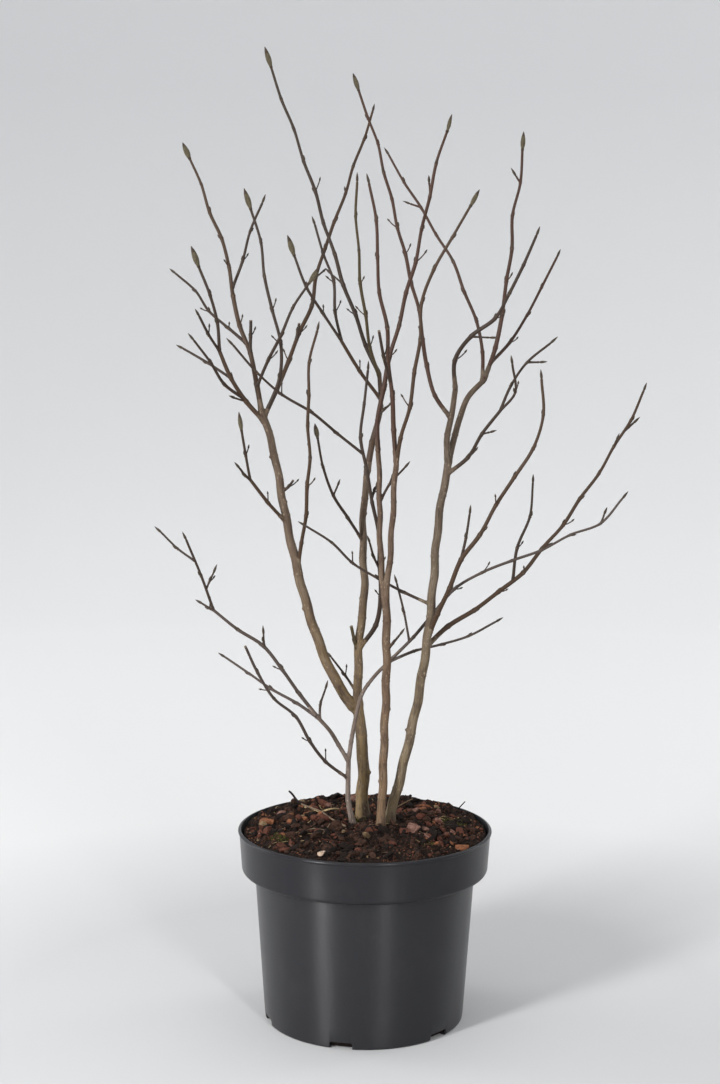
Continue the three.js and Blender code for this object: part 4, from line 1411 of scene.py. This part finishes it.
outside = [
    (0, 0),
    (FOOT_RADIUS * 0.6, 0),
    *arc((FOOT_RADIUS - FOOT_ROUNDING, FOOT_ROUNDING), FOOT_ROUNDING, -90, 0),
    *wall_line(8, COLLAR_FOOT - 6, 12),
    *arc((NECK_RADIUS + NECK_ROUNDING - 0.4, COLLAR_FOOT - NECK_ROUNDING), NECK_ROUNDING, 180, 90),
    *arc((COLLAR_RADIUS - COLLAR_ROUNDING, COLLAR_FOOT + COLLAR_ROUNDING), COLLAR_ROUNDING, -90, 0, 9),
    (COLLAR_RADIUS + COLLAR_BULGE, COLLAR_FOOT + COLLAR_BULGE_HEIGHT),
    (LIP_CENTRE, POT_HEIGHT - LIP_HEIGHT - 1.2),
    *arc((LIP_CENTRE, POT_HEIGHT - LIP_HEIGHT / 2), LIP_HEIGHT / 2 - 0.5, -75, 75, 9),
    *arc((LIP_CENTRE - WALL / 2 - 0.2, POT_HEIGHT - WALL / 2), WALL / 2, 80, 180),
]
inside = [
    *arc(INNER_CORNER, COLLAR_ROUNDING, 0, -90),
    (NECK_RADIUS, COLLAR_FOOT + WALL),
    (body_radius(COLLAR_FOOT) - WALL, COLLAR_FOOT - 3),
    (body_radius(FLOOR) - WALL, FLOOR + 2),
    (body_radius(FLOOR) - WALL - 2, FLOOR),
    (0, FLOOR),
]


def turned_piece(name, profile, sides):
    """A closed body turned about the upright axis from a profile that starts and ends on it."""
    mesh = bmesh.new()
    turns = [2 * math.pi * j / sides for j in range(sides)]
    rings = []
    for radius, height in profile:
        if radius == 0:
            ring = [(0, 0, height)]
        else:
            ring = [(radius * math.cos(turn), radius * math.sin(turn), height) for turn in turns]
        rings.append([mesh.verts.new([size * MM for size in place]) for place in ring])
    for low, high in zip(rings, rings[1:]):
        for j in range(sides):
            k = (j + 1) % sides
            corners = [low[j % len(low)], low[k % len(low)], high[k % len(high)], high[j % len(high)]]
            mesh.faces.new(list(dict.fromkeys(corners)))
    bmesh.ops.recalc_face_normals(mesh, faces=mesh.faces)
    data = bpy.data.meshes.new(name)
    mesh.to_mesh(data)
    mesh.free()
    piece = bpy.data.objects.new(name, data)
    bpy.context.scene.collection.objects.link(piece)
    return piece


# %% Cut the drain notches
def notch_cutter(turn):
    """A box with rounded upper corners, across the pot's foot."""
    mesh = bmesh.new()
    half = DRAIN_WIDTH / 2
    outline = [
        (-half, -DRAIN_HEIGHT),
        (half, -DRAIN_HEIGHT),
        *arc((half - DRAIN_ROUNDING, DRAIN_HEIGHT - DRAIN_ROUNDING), DRAIN_ROUNDING, 0, 90, 5),
        *arc((DRAIN_ROUNDING - half, DRAIN_HEIGHT - DRAIN_ROUNDING), DRAIN_ROUNDING, 90, 180, 5),
    ]
    near = -FOOT_RADIUS - DRAIN_DEPTH
    far = -FOOT_RADIUS + DRAIN_DEPTH
    front = [mesh.verts.new((x * MM, near * MM, z * MM)) for x, z in outline]
    rear = [mesh.verts.new((x * MM, far * MM, z * MM)) for x, z in outline]
    mesh.faces.new(front)
    mesh.faces.new(rear[::-1])
    for j in range(len(outline)):
        k = (j + 1) % len(outline)
        mesh.faces.new([front[k], front[j], rear[j], rear[k]])
    bmesh.ops.rotate(mesh, verts=mesh.verts, matrix=Matrix.Rotation(math.radians(turn), 3, "Z"))
    bmesh.ops.recalc_face_normals(mesh, faces=mesh.faces)
    return mesh


cutter_mesh = bpy.data.meshes.new("notches")
joined = bmesh.new()
for number in range(DRAIN_COUNT):
    one = notch_cutter(DRAIN_TURN + 360 / DRAIN_COUNT * number)
    one.to_mesh(cutter_mesh)
    one.free()
    joined.from_mesh(cutter_mesh)
joined.to_mesh(cutter_mesh)
joined.free()
cutter = bpy.data.objects.new("notches", cutter_mesh)
bpy.context.scene.collection.objects.link(cutter)


# %% Build the pot
EDGE_ROUNDING = 0.35


def apply_modifiers(piece):
    """Keeps the shape that a piece's modifiers give it, and takes them off."""
    shown = piece.evaluated_get(bpy.context.evaluated_depsgraph_get())
    piece.data = bpy.data.meshes.new_from_object(shown)
    piece.modifiers.clear()


pot = turned_piece("pot_shell", outside + inside, POT_SIDES)
cut = pot.modifiers.new("cut", "BOOLEAN")
cut.object = cutter
cut.solver = "EXACT"
apply_modifiers(pot)
bpy.data.objects.remove(cutter)
round_edges = pot.modifiers.new("round", "BEVEL")
round_edges.width = EDGE_ROUNDING * MM
round_edges.segments = 2
round_edges.limit_method = "ANGLE"
round_edges.angle_limit = math.radians(50)
apply_modifiers(pot)
pot.data.polygons.foreach_set("use_smooth", [True] * len(pot.data.polygons))
pot.data.set_sharp_from_angle(angle=math.radians(40))
print("pot faces:", len(pot.data.polygons))

# %% [markdown]
# ### The pot's finish
#
# Recycled black plastic is a dark anthracite with a soft gloss. It shows long upright highlights, faint
# upright scuffs from stacking, and a breath of dust. The collar is a little duller than the body.

# %% Pot plastic
BODY_GLOSS = 0.32
COLLAR_GLOSS = 0.20
PLASTIC_COLOR = (0.0115, 0.0115, 0.0135)
SCUFF_COLOR = (0.022, 0.022, 0.024)
DUST_COLOR = (0.045, 0.043, 0.040)


def plastic_finish(name, gloss):
    finish = new_finish(name, PLASTIC_COLOR, 0.32, gloss)
    shader = shader_of(finish)
    shader.inputs["Anisotropic"].default_value = 0.85
    round_about = finish.node_tree.nodes.new("ShaderNodeTangent")
    round_about.direction_type = "RADIAL"
    round_about.axis = "Z"
    link(finish, round_about.outputs["Tangent"], shader.inputs["Tangent"])
    shader.inputs["Anisotropic Rotation"].default_value = 0.25
    space = own_space(finish)
    scuffs = cloud(finish, own_space(finish, (1, 1, 0.12)), 55, 5, 0.65)
    dust = cloud(finish, space, 22, 5, 0.6)
    scuffed = between(finish, scuffs, 0.58, 0.82, 0.0, 0.4)
    body = blend_colors(finish, scuffed, PLASTIC_COLOR, SCUFF_COLOR)
    paint(finish, blend_colors(finish, between(finish, dust, 0.58, 0.85, 0.0, 0.2), body, DUST_COLOR))
    roughen(finish, scuffs, 0.30, 0.38)
    emboss(finish, cloud(finish, space, 900, 2), 0.00008)
    return finish


pot.data.materials.clear()
pot.data.materials.append(plastic_finish("pot_plastic", BODY_GLOSS))
pot.data.materials.append(plastic_finish("collar_plastic", COLLAR_GLOSS))
for face in pot.data.polygons:
    face.material_index = int(face.center.z > (COLLAR_FOOT - 0.5) * MM)
settle(pot, "pot", "pot")

# %% [markdown]
# ## The potting mix
#
# The mix is chopped bark and peat: dark crumbs, reddish bark chips, fibres, a few pale bits and some moss.
# It stands a little above the rim at the stems and falls towards the wall. A rough skin fills the pot, and
# the bits that lie on it are made one by one in heaps: chips, crumbs, fibres and moss.

# %% The mix's surface
MIX_FLAT_RADIUS = 46
MIX_SHOULDER_RADIUS = 100
MIX_SHOULDER_TOP = 215.5
MIX_EDGE_TOP = 210
MIX_GAP = 0.6          # between the mix and the pot
MIX_EDGE_RADIUS = COLLAR_RADIUS - WALL - MIX_GAP
MIX_SIDES = 300
MIX_RINGS = 110
MIX_BACK_RISE = 7.5    # how much higher the edge is at the very back, and at the very front
MIX_FRONT_RISE = 3.5
LUMP_HEIGHT = 4.6
CRUMB_HEIGHT = 2.4


def mix_height(x, y):
    """Height of the mix's skin at a place on the plan."""
    radius = math.hypot(x, y)
    to_back = y / max(radius, 1)
    edge = MIX_EDGE_TOP + (MIX_BACK_RISE if to_back > 0 else MIX_FRONT_RISE) * abs(to_back)
    reaches = [0, MIX_FLAT_RADIUS, MIX_SHOULDER_RADIUS, MIX_EDGE_RADIUS]
    level = float(np.interp(radius, reaches, [MIX_TOP - 1, MIX_TOP - 1, MIX_SHOULDER_TOP - 1, edge]))
    lumps = noise.noise(Vector((x * 0.07, y * 0.07, 3.1)))
    crumbs = noise.noise(Vector((x * 0.21, y * 0.21, 8.4)))
    return level + LUMP_HEIGHT * lumps + CRUMB_HEIGHT * crumbs


def mix_surface():
    """A rough skin over the mix, then down the pot's wall and across its floor."""
    heap = Heap()
    turns = np.arange(MIX_SIDES) * 2 * math.pi / MIX_SIDES
    rings = []
    for radius in np.linspace(0, MIX_EDGE_RADIUS, MIX_RINGS)[1:]:
        plan = [(radius * math.cos(turn), radius * math.sin(turn)) for turn in turns]
        rings.append([(x, y, mix_height(x, y)) for x, y in plan])
    wall = [
        (MIX_EDGE_RADIUS, COLLAR_FOOT + COLLAR_ROUNDING + WALL + 1),
        (COLLAR_RADIUS - COLLAR_ROUNDING - MIX_GAP, COLLAR_FOOT + WALL + MIX_GAP),
        (NECK_RADIUS - MIX_GAP, COLLAR_FOOT + WALL + MIX_GAP),
        (body_radius(COLLAR_FOOT) - WALL - MIX_GAP, COLLAR_FOOT - 3),
        (body_radius(FLOOR) - WALL - 2 - MIX_GAP, FLOOR + MIX_GAP),
    ]
    for radius, height in wall:
        rings.append([(radius * math.cos(turn), radius * math.sin(turn), height) for turn in turns])
    middles = [[0, 0, mix_height(0, 0)], [0, 0, FLOOR + MIX_GAP]]
    points = np.concatenate([np.array(rings).reshape(-1, 3), middles])
    top = len(points) - 2
    bottom = len(points) - 1
    faces = []
    for i in range(len(rings) - 1):
        inner, outer = i * MIX_SIDES, (i + 1) * MIX_SIDES
        for j in range(MIX_SIDES):
            k = (j + 1) % MIX_SIDES
            faces.append((inner + j, outer + j, outer + k, inner + k))
    last = (len(rings) - 1) * MIX_SIDES
    for j in range(MIX_SIDES):
        k = (j + 1) % MIX_SIDES
        faces.append((top, j, k))
        faces.append((bottom, last + k, last + j))
    heap.add(points, faces)
    return heap


# %% Finishes of the mix
def earth_finish(name, dark, light, roughness=0.9, scale=420, depth=0.0006):
    finish = new_finish(name, dark, roughness, 0.12)
    space = own_space(finish)
    mottle = cloud(finish, space, scale, 5, 0.65)
    paint(finish, blend_colors(finish, between(finish, mottle, 0.36, 0.68), dark, light))
    roughen(finish, mottle, roughness - 0.12, min(1.0, roughness + 0.06))
    emboss(finish, cloud(finish, space, scale * 3, 3), depth)
    return finish


MIX_FINISHES = {
    # The skin's near-black colour is dark peat and also painted shade in the gaps between the bits that lie
    # on it.
    "peat": earth_finish("mix_peat_and_gap_shade", (0.004, 0.0025, 0.002), (0.018, 0.010, 0.007)),
    "black": earth_finish("bit_black", (0.004, 0.0025, 0.002), (0.013, 0.008, 0.006)),
    "brown": earth_finish("bit_brown", (0.013, 0.006, 0.004), (0.044, 0.022, 0.014)),
    "red": earth_finish("bit_red", (0.034, 0.012, 0.008), (0.094, 0.036, 0.023)),
    "orange": earth_finish("bit_orange", (0.085, 0.032, 0.015), (0.210, 0.088, 0.044)),
    "pink": earth_finish("bit_pink", (0.070, 0.034, 0.026), (0.190, 0.104, 0.080)),
    "tan": earth_finish("bit_tan", (0.085, 0.055, 0.030), (0.190, 0.130, 0.075)),
    "pale": earth_finish("bit_pale", (0.240, 0.170, 0.120), (0.480, 0.370, 0.285), 0.8),
    "moss": earth_finish("bit_moss", (0.030, 0.033, 0.008), (0.090, 0.088, 0.024), 0.95),
    "straw": earth_finish("bit_straw", (0.230, 0.165, 0.080), (0.400, 0.310, 0.175), 0.7),
    "root": earth_finish("bit_root", (0.085, 0.058, 0.038), (0.180, 0.130, 0.090), 0.75),
}
BIT_TONES = list(MIX_FINISHES)
settle(make_piece("mix_skin", mix_surface(), [MIX_FINISHES["peat"]]), "potting_mix", "potting_mix")

# %% [markdown]
# ### Bark chips and crumbs
#
# A chip is a ball pushed out of round and cut flat on a few sides, which gives the broken faces of real
# bark. Its colour is dealt out by place: the front middle is dark and fine, while the left, the back and the
# right show red and orange chips. A crumb is the same thing, small and cut only twice.

# %% A broken lump
def unit_ball(subdivisions):
    mesh = bmesh.new()
    bmesh.ops.create_icosphere(mesh, subdivisions=subdivisions, radius=1)
    points = np.array([vert.co[:] for vert in mesh.verts])
    faces = [tuple(vert.index for vert in face.verts) for face in mesh.faces]
    mesh.free()
    return points, faces


COARSE_BALL = unit_ball(1)
FINE_BALL = unit_ball(2)
LARGE_BALL = unit_ball(3)


def broken_lump(draw, sizes, place, base, cuts=5, tilt=35):
    """A ball made uneven, cut flat on a few sides, stretched, turned and laid down."""
    points, faces = base
    points = points * (1 + np.array([[draw.uniform(-0.16, 0.16)] for _ in points]))
    for _ in range(cuts):
        side = unit(np.array([draw.gauss(0, 1), draw.gauss(0, 1), draw.gauss(0, 0.7)]))
        past = np.maximum(points @ side - draw.uniform(0.42, 0.78), 0)
        points = points - np.outer(past, side)
    turn = Matrix.Rotation(draw.uniform(0, 2 * math.pi), 3, "Z")
    lean = Matrix.Rotation(math.radians(draw.uniform(-tilt, tilt)), 3, "X")
    roll = Matrix.Rotation(math.radians(draw.uniform(-tilt, tilt)), 3, "Y")
    return place + (points * np.array(sizes)) @ np.array(turn @ lean @ roll).T, faces


# %% Which tone lies where
STEM_FEET = [(stem["foot"][0], stem["foot"][1], stem["thick"][0] * 0.75) for stem in STEMS.values()]
TONE_SHARES = {"red": 0.55, "orange": 0.70, "pink": 0.77, "tan": 0.82}   # each up to here, times the redness
BROWN_SHARE = 0.52     # of the other bits. The rest are black


def is_free(x, y, size):
    """Whether a bit of this size would lie clear of the stems."""
    return all(math.hypot(x - foot_x, y - foot_y) > radius + size for foot_x, foot_y, radius in STEM_FEET)


def tone_at(draw, x, y):
    """The tone of a bit at a place: redder on the left, at the back and on the right."""
    front_middle = math.exp(-((x - 8) / 62) ** 2 - ((y + 62) / 48) ** 2)
    patches = 0.5 + noise.noise(Vector((x * 0.035, y * 0.035, 5.7)))
    redness = 0.62 * max(0.0, patches) * (1 - front_middle) + 0.02
    chance = draw.random()
    for tone, share in TONE_SHARES.items():
        if chance < redness * share:
            return tone
    return "brown" if draw.random() < BROWN_SHARE else "black"


def place_on_mix(draw, reach):
    """A random place within a reach, spread evenly over the round surface."""
    radius = reach * math.sqrt(draw.random())
    turn = draw.uniform(0, 2 * math.pi)
    return radius * math.cos(turn), radius * math.sin(turn)


# %% Lay the chips and crumbs
CHIPS = 900
CRUMBS = 8000
CHIP_HALVES = (2.2, 2.8, 3.6, 4.8, 6.4)    # half the length of a chip
CHIP_CUTS = 6
CHIP_TILT = 50
CHIP_LIFT = 0.45       # share of its half thickness
CRUMB_LIFT = 0.3
chips = Heap()
crumbs = Heap()
draw = random.Random(5)
for _ in range(CHIPS):
    x, y = place_on_mix(draw, MIX_EDGE_RADIUS - 8)
    half = draw.choice(CHIP_HALVES)
    if not is_free(x, y, half * 0.8):
        continue
    sizes = (half * draw.uniform(0.9, 1.5), half * draw.uniform(0.6, 1.0), half * draw.uniform(0.35, 0.75))
    place = np.array([x, y, mix_height(x, y) + sizes[2] * CHIP_LIFT])
    points, faces = broken_lump(draw, sizes, place, FINE_BALL, CHIP_CUTS, CHIP_TILT)
    chips.add(points, faces, BIT_TONES.index(tone_at(draw, x, y)))
for _ in range(CRUMBS):
    x, y = place_on_mix(draw, MIX_EDGE_RADIUS - 2.5)
    half = draw.uniform(0.6, 1.8)
    sizes = (half, half * draw.uniform(0.7, 1.0), half * draw.uniform(0.5, 0.9))
    place = np.array([x, y, mix_height(x, y) + half * CRUMB_LIFT])
    points, faces = broken_lump(draw, sizes, place, COARSE_BALL, 2)
    crumbs.add(points, faces, BIT_TONES.index(tone_at(draw, x, y)))
print("bits laid:", len(chips.points), "chips,", len(crumbs.points), "crumbs")

# %% The large bits that show
LARGE_BITS = [         # x, y, half sizes, tone
    (54, -28, (13, 9, 5.0), "pink"),
    (66, -20, (10, 7, 4.4), "pink"),
    (44, -38, (8, 6, 3.6), "red"),
    (70, -44, (9, 5, 3.0), "pink"),
    (106, -76, (8, 7, 5.0), "orange"),
    (96, -57, (7, 5, 3.2), "orange"),
    (-115, 18, (9, 5, 4.0), "orange"),
    (-106, 10, (8, 5, 4.0), "orange"),
    (-85, 22, (8, 5, 4.4), "orange"),
    (-80, 2, (7, 5, 4.0), "orange"),
    (-43, -113, (7, 5, 3.4), "pale"),
    (-78, -74, (6, 4, 2.6), "pink"),
    (-49, -64, (2.6, 1.8, 1.8), "straw"),
    (-17, -108, (6, 4, 2.4), "tan"),
    (-4, -80, (6, 4, 3.0), "red"),
    (-60, 62, (8, 6, 4.0), "red"),
    (62, 70, (9, 5, 3.4), "red"),
    (30, 96, (8, 5, 3.0), "brown"),
    (100, 46, (8, 5, 3.0), "red"),
    (-70, -82, (6, 4, 2.8), "brown"),
    (16, -119, (3, 2, 1.6), "tan"),
    (5, -121, (2.4, 2, 1.4), "tan"),
    (-50, 87, (9, 6, 4.2), "red"),
]
for x, y, sizes, tone in LARGE_BITS:
    place = np.array([x, y, mix_height(x, y) + sizes[2] * CHIP_LIFT])
    chips.add(*broken_lump(draw, sizes, place, LARGE_BALL, 9, 16), BIT_TONES.index(tone))
settle(make_piece("bark_chips", chips, list(MIX_FINISHES.values()), smooth=False), "potting_mix")
settle(make_piece("crumbs", crumbs, list(MIX_FINISHES.values()), smooth=False), "potting_mix")

# %% [markdown]
# ### Fibres, twigs and moss
#
# Roots and straw lie about in loose curves. A dry twig lies at the back left, where a dark stick stands up
# over the rim, and a yellow strip of straw lies beside it. Moss grows in five small cushions of short green
# spikes.

# %% Fibres
FIBRES = 90
FIBRE_TONES = ("root", "brown", "straw", "brown", "red")


def lying_line(points):
    """Lifts the points of a line onto the mix: each is (x, y, height above the mix)."""
    return np.array([(x, y, mix_height(x, y) + above) for x, y, above in points])


def softened(points, spacing=2.5):
    """A soft curve through a few points."""
    reach = distance_along(points)[-1]
    return curve_through(points, np.linspace(0, len(points) - 1, max(5, round(reach / spacing))))


fibres = Heap()
draw = random.Random(31)
for _ in range(FIBRES):
    x, y = place_on_mix(draw, MIX_EDGE_RADIUS - 14)
    heading = draw.uniform(0, 2 * math.pi)
    step = draw.uniform(3, 9)
    line = []
    for _ in range(5):
        if math.hypot(x, y) < MIX_EDGE_RADIUS - 3:
            line.append((x, y, draw.uniform(0.6, 2.6)))
        heading += draw.uniform(-0.7, 0.7)
        x += step * math.cos(heading)
        y += step * math.sin(heading)
    if len(line) < 3:
        continue
    centres = softened(lying_line(line))
    radii = draw.uniform(0.24, 0.45) * np.linspace(1, 0.6, len(centres))
    fibres.add(*tube(centres, radii, 5), BIT_TONES.index(draw.choice(FIBRE_TONES)))

# %% Long bits, each a line of (x, y, height above the mix)
DRY_TWIG = [(-21, -26, 3), (-37, 4, 5), (-51, 30, 6), (-66, 54, 7), (-77, 72, 8)]
DARK_STICK = [(-75, 68, 7), (-80, 76, 10), (-86, 86, 14), (-90, 92, 18)]
STRAW_STRIP = [(-70, 62, 3), (-63, 55, 4), (-52, 44, 4), (-41, 41, 4.5), (-31, 53, 5)]
PALE_ROOT = [(-78, -36, 1.4), (-62, -30, 2.2), (-50, -31, 2.4), (-36, -38, 1.2)]
SPRIG = [(-45, -48, 0), (-42, -36, 4), (-38, -22, 7)]
RIGHT_TWIG = [(103, 74, 1), (108, 76, 6), (114, 78, 12)]
RIGHT_STRAW = [(36, 76, 3), (44, 88, 4), (54, 106, 3)]
LONG_BITS = [          # line, thickness, tone
    (DRY_TWIG, 2.3, "root"),
    (DARK_STICK, 3.0, "black"),
    (STRAW_STRIP, 2.4, "straw"),
    (PALE_ROOT, 1.2, "root"),
    (SPRIG, 1.4, "root"),
    (RIGHT_TWIG, 1.6, "black"),
    (RIGHT_STRAW, 1.4, "tan"),
]
for points, thick, tone in LONG_BITS:
    centres = softened(lying_line(points))
    fibres.add(*tube(centres, thick / 2 * np.linspace(1, 0.75, len(centres)), 8), BIT_TONES.index(tone))
settle(make_piece("fibres", fibres, list(MIX_FINISHES.values())), "potting_mix")

# %% Moss
MOSS_CUSHIONS = [(-93, -50, 15), (97, 20, 17), (-8, 14, 12), (24, -4, 8), (70, -64, 8)]   # x, y, radius
moss = Heap()
draw = random.Random(47)
for centre_x, centre_y, reach in MOSS_CUSHIONS:
    for _ in range(int(reach * reach * 1.7)):
        off_x, off_y = place_on_mix(draw, reach)
        x = off_x + centre_x
        y = off_y + centre_y
        if not is_free(x, y, -2) or math.hypot(x, y) > MIX_EDGE_RADIUS - 3:
            continue
        aim = unit(np.array([draw.gauss(0, 0.45), draw.gauss(0, 0.45), 1.0]))
        side = unit(np.cross(aim, [0.2, 1, 0]))
        root = np.array([x, y, mix_height(x, y) - 0.4])
        moss.add(*spike(root, aim, side, draw.uniform(1.8, 4.2), draw.uniform(0.7, 1.2)))
settle(make_piece("moss", moss, [MIX_FINISHES["moss"]]), "potting_mix")

# %% [markdown]
# ## The studio
#
# The plant stands on a pale floor that curves up all round into a pale wall, far enough away that the camera
# can walk round inside. Its tone carries painted light and shade: painted shade round the pot and high up,
# and painted light in between. The light is soft: a bright sky, a large lamp above, one at each side behind,
# and two tall strips in front that give the pot its upright highlights.

# %% Floor and wall
FLOOR_RADIUS = 2.6     # metres
WALL_RADIUS = 5.2
WALL_HEIGHT = 4.5
FLOOR_SIDES = 96
# Painted light and shade on the floor and wall: painted shade round the pot and high on the wall, painted
# light where the floor starts to rise.
NEAR_PAINTED_SHADE = (0.47, 0.472, 0.475)    # round the pot
MIDDLE_PAINTED_TONE = (0.65, 0.65, 0.65)    # an arm's length away
RISE_PAINTED_LIGHT = (0.90, 0.90, 0.90)     # where the floor starts to rise
HIGH_PAINTED_SHADE = (0.765, 0.767, 0.775)   # high on the wall


def studio_finish():
    """A pale finish with painted light and shade: its tone changes with the distance from the pot and with
    height.
    """
    finish = new_finish("studio_floor", NEAR_PAINTED_SHADE, 0.85, 0.15)
    parts = add_node(finish, "ShaderNodeSeparateXYZ")
    link(finish, own_space(finish), parts.inputs["Vector"])
    length = finish.node_tree.nodes.new("ShaderNodeVectorMath")
    length.operation = "LENGTH"
    link(finish, own_space(finish, (1, 1, 0)), length.inputs[0])
    reach = length.outputs["Value"]
    # Painted shade round the pot fades into painted light towards the rise, and painted shade comes back high
    # on the wall.
    ground = blend_colors(finish, between(finish, reach, 0.42, 0.85), NEAR_PAINTED_SHADE, MIDDLE_PAINTED_TONE)
    ground = blend_colors(finish, between(finish, reach, 0.85, FLOOR_RADIUS), ground, RISE_PAINTED_LIGHT)
    paint(finish, blend_colors(finish, between(finish, parts.outputs["Z"], 0.1, 1.6), ground, HIGH_PAINTED_SHADE))
    return finish


def studio_shape():
    """A flat floor from its middle outwards, then a sweep up into an upright wall."""
    sides = FLOOR_SIDES
    turns = np.arange(sides) * 2 * math.pi / sides
    sweep = arc((FLOOR_RADIUS, WALL_RADIUS - FLOOR_RADIUS), WALL_RADIUS - FLOOR_RADIUS, -90, 0, 16)
    profile = [(0.5, 0), (1.4, 0), *sweep, (WALL_RADIUS, WALL_HEIGHT)]
    points = [(0, 0, 0)]
    faces = [(0, 1 + j, 1 + (j + 1) % sides) for j in range(sides)]
    for radius, height in profile:
        points += [(radius * math.cos(turn), radius * math.sin(turn), height) for turn in turns]
    for i in range(len(profile) - 1):
        low = 1 + i * sides
        high = low + sides
        faces += [(low + j, high + j, high + (j + 1) % sides, low + (j + 1) % sides) for j in range(sides)]
    heap = Heap()
    heap.add(np.array(points) / MM, faces)
    return heap


floor = make_piece("studio_floor", studio_shape(), [studio_finish()])
print("studio faces:", len(floor.data.polygons))

# %% Light
LAMP_SPREAD = 120      # degrees. A lamp's full half circle of light would leave hard edges on the floor
LAMP_TARGET = Vector((0, 0, 0.5))
SKY_COLOR = (0.955, 0.968, 0.985)
SKY_STRENGTH = 0.73


def add_lamp(name, turn, distance, height, width, tall, power):
    """A rectangular lamp, turned so many degrees from the front to the right, aimed at the plant's middle."""
    lamp = bpy.data.lights.new(name, "AREA")
    lamp.shape = "RECTANGLE"
    lamp.size = width
    lamp.size_y = tall
    lamp.energy = power
    lamp.spread = math.radians(LAMP_SPREAD)
    holder = bpy.data.objects.new(name, lamp)
    angle = math.radians(turn)
    holder.location = (distance * math.sin(angle), -distance * math.cos(angle), height)
    aim = LAMP_TARGET - holder.location
    holder.rotation_euler = aim.to_track_quat("-Z", "Y").to_euler()
    holder.visible_camera = False
    bpy.context.scene.collection.objects.link(holder)


add_lamp("key", -41, 2.3, 1.05, 0.28, 2.0, 40)
add_lamp("fill", 22, 2.4, 1.05, 0.18, 2.0, 15)
add_lamp("top", 180, 0.6, 3.4, 2.4, 2.4, 9)
add_lamp("left_side", -110, 3.8, 1.7, 1.8, 2.6, 24)
add_lamp("right_side", 118, 3.8, 1.7, 1.2, 2.6, 16)

world = bpy.data.worlds.new("sky")
world.use_nodes = True
world.node_tree.nodes["Background"].inputs["Color"].default_value = (*SKY_COLOR, 1)
world.node_tree.nodes["Background"].inputs["Strength"].default_value = SKY_STRENGTH
bpy.context.scene.world = world
bpy.context.scene.view_settings.view_transform = "Standard"
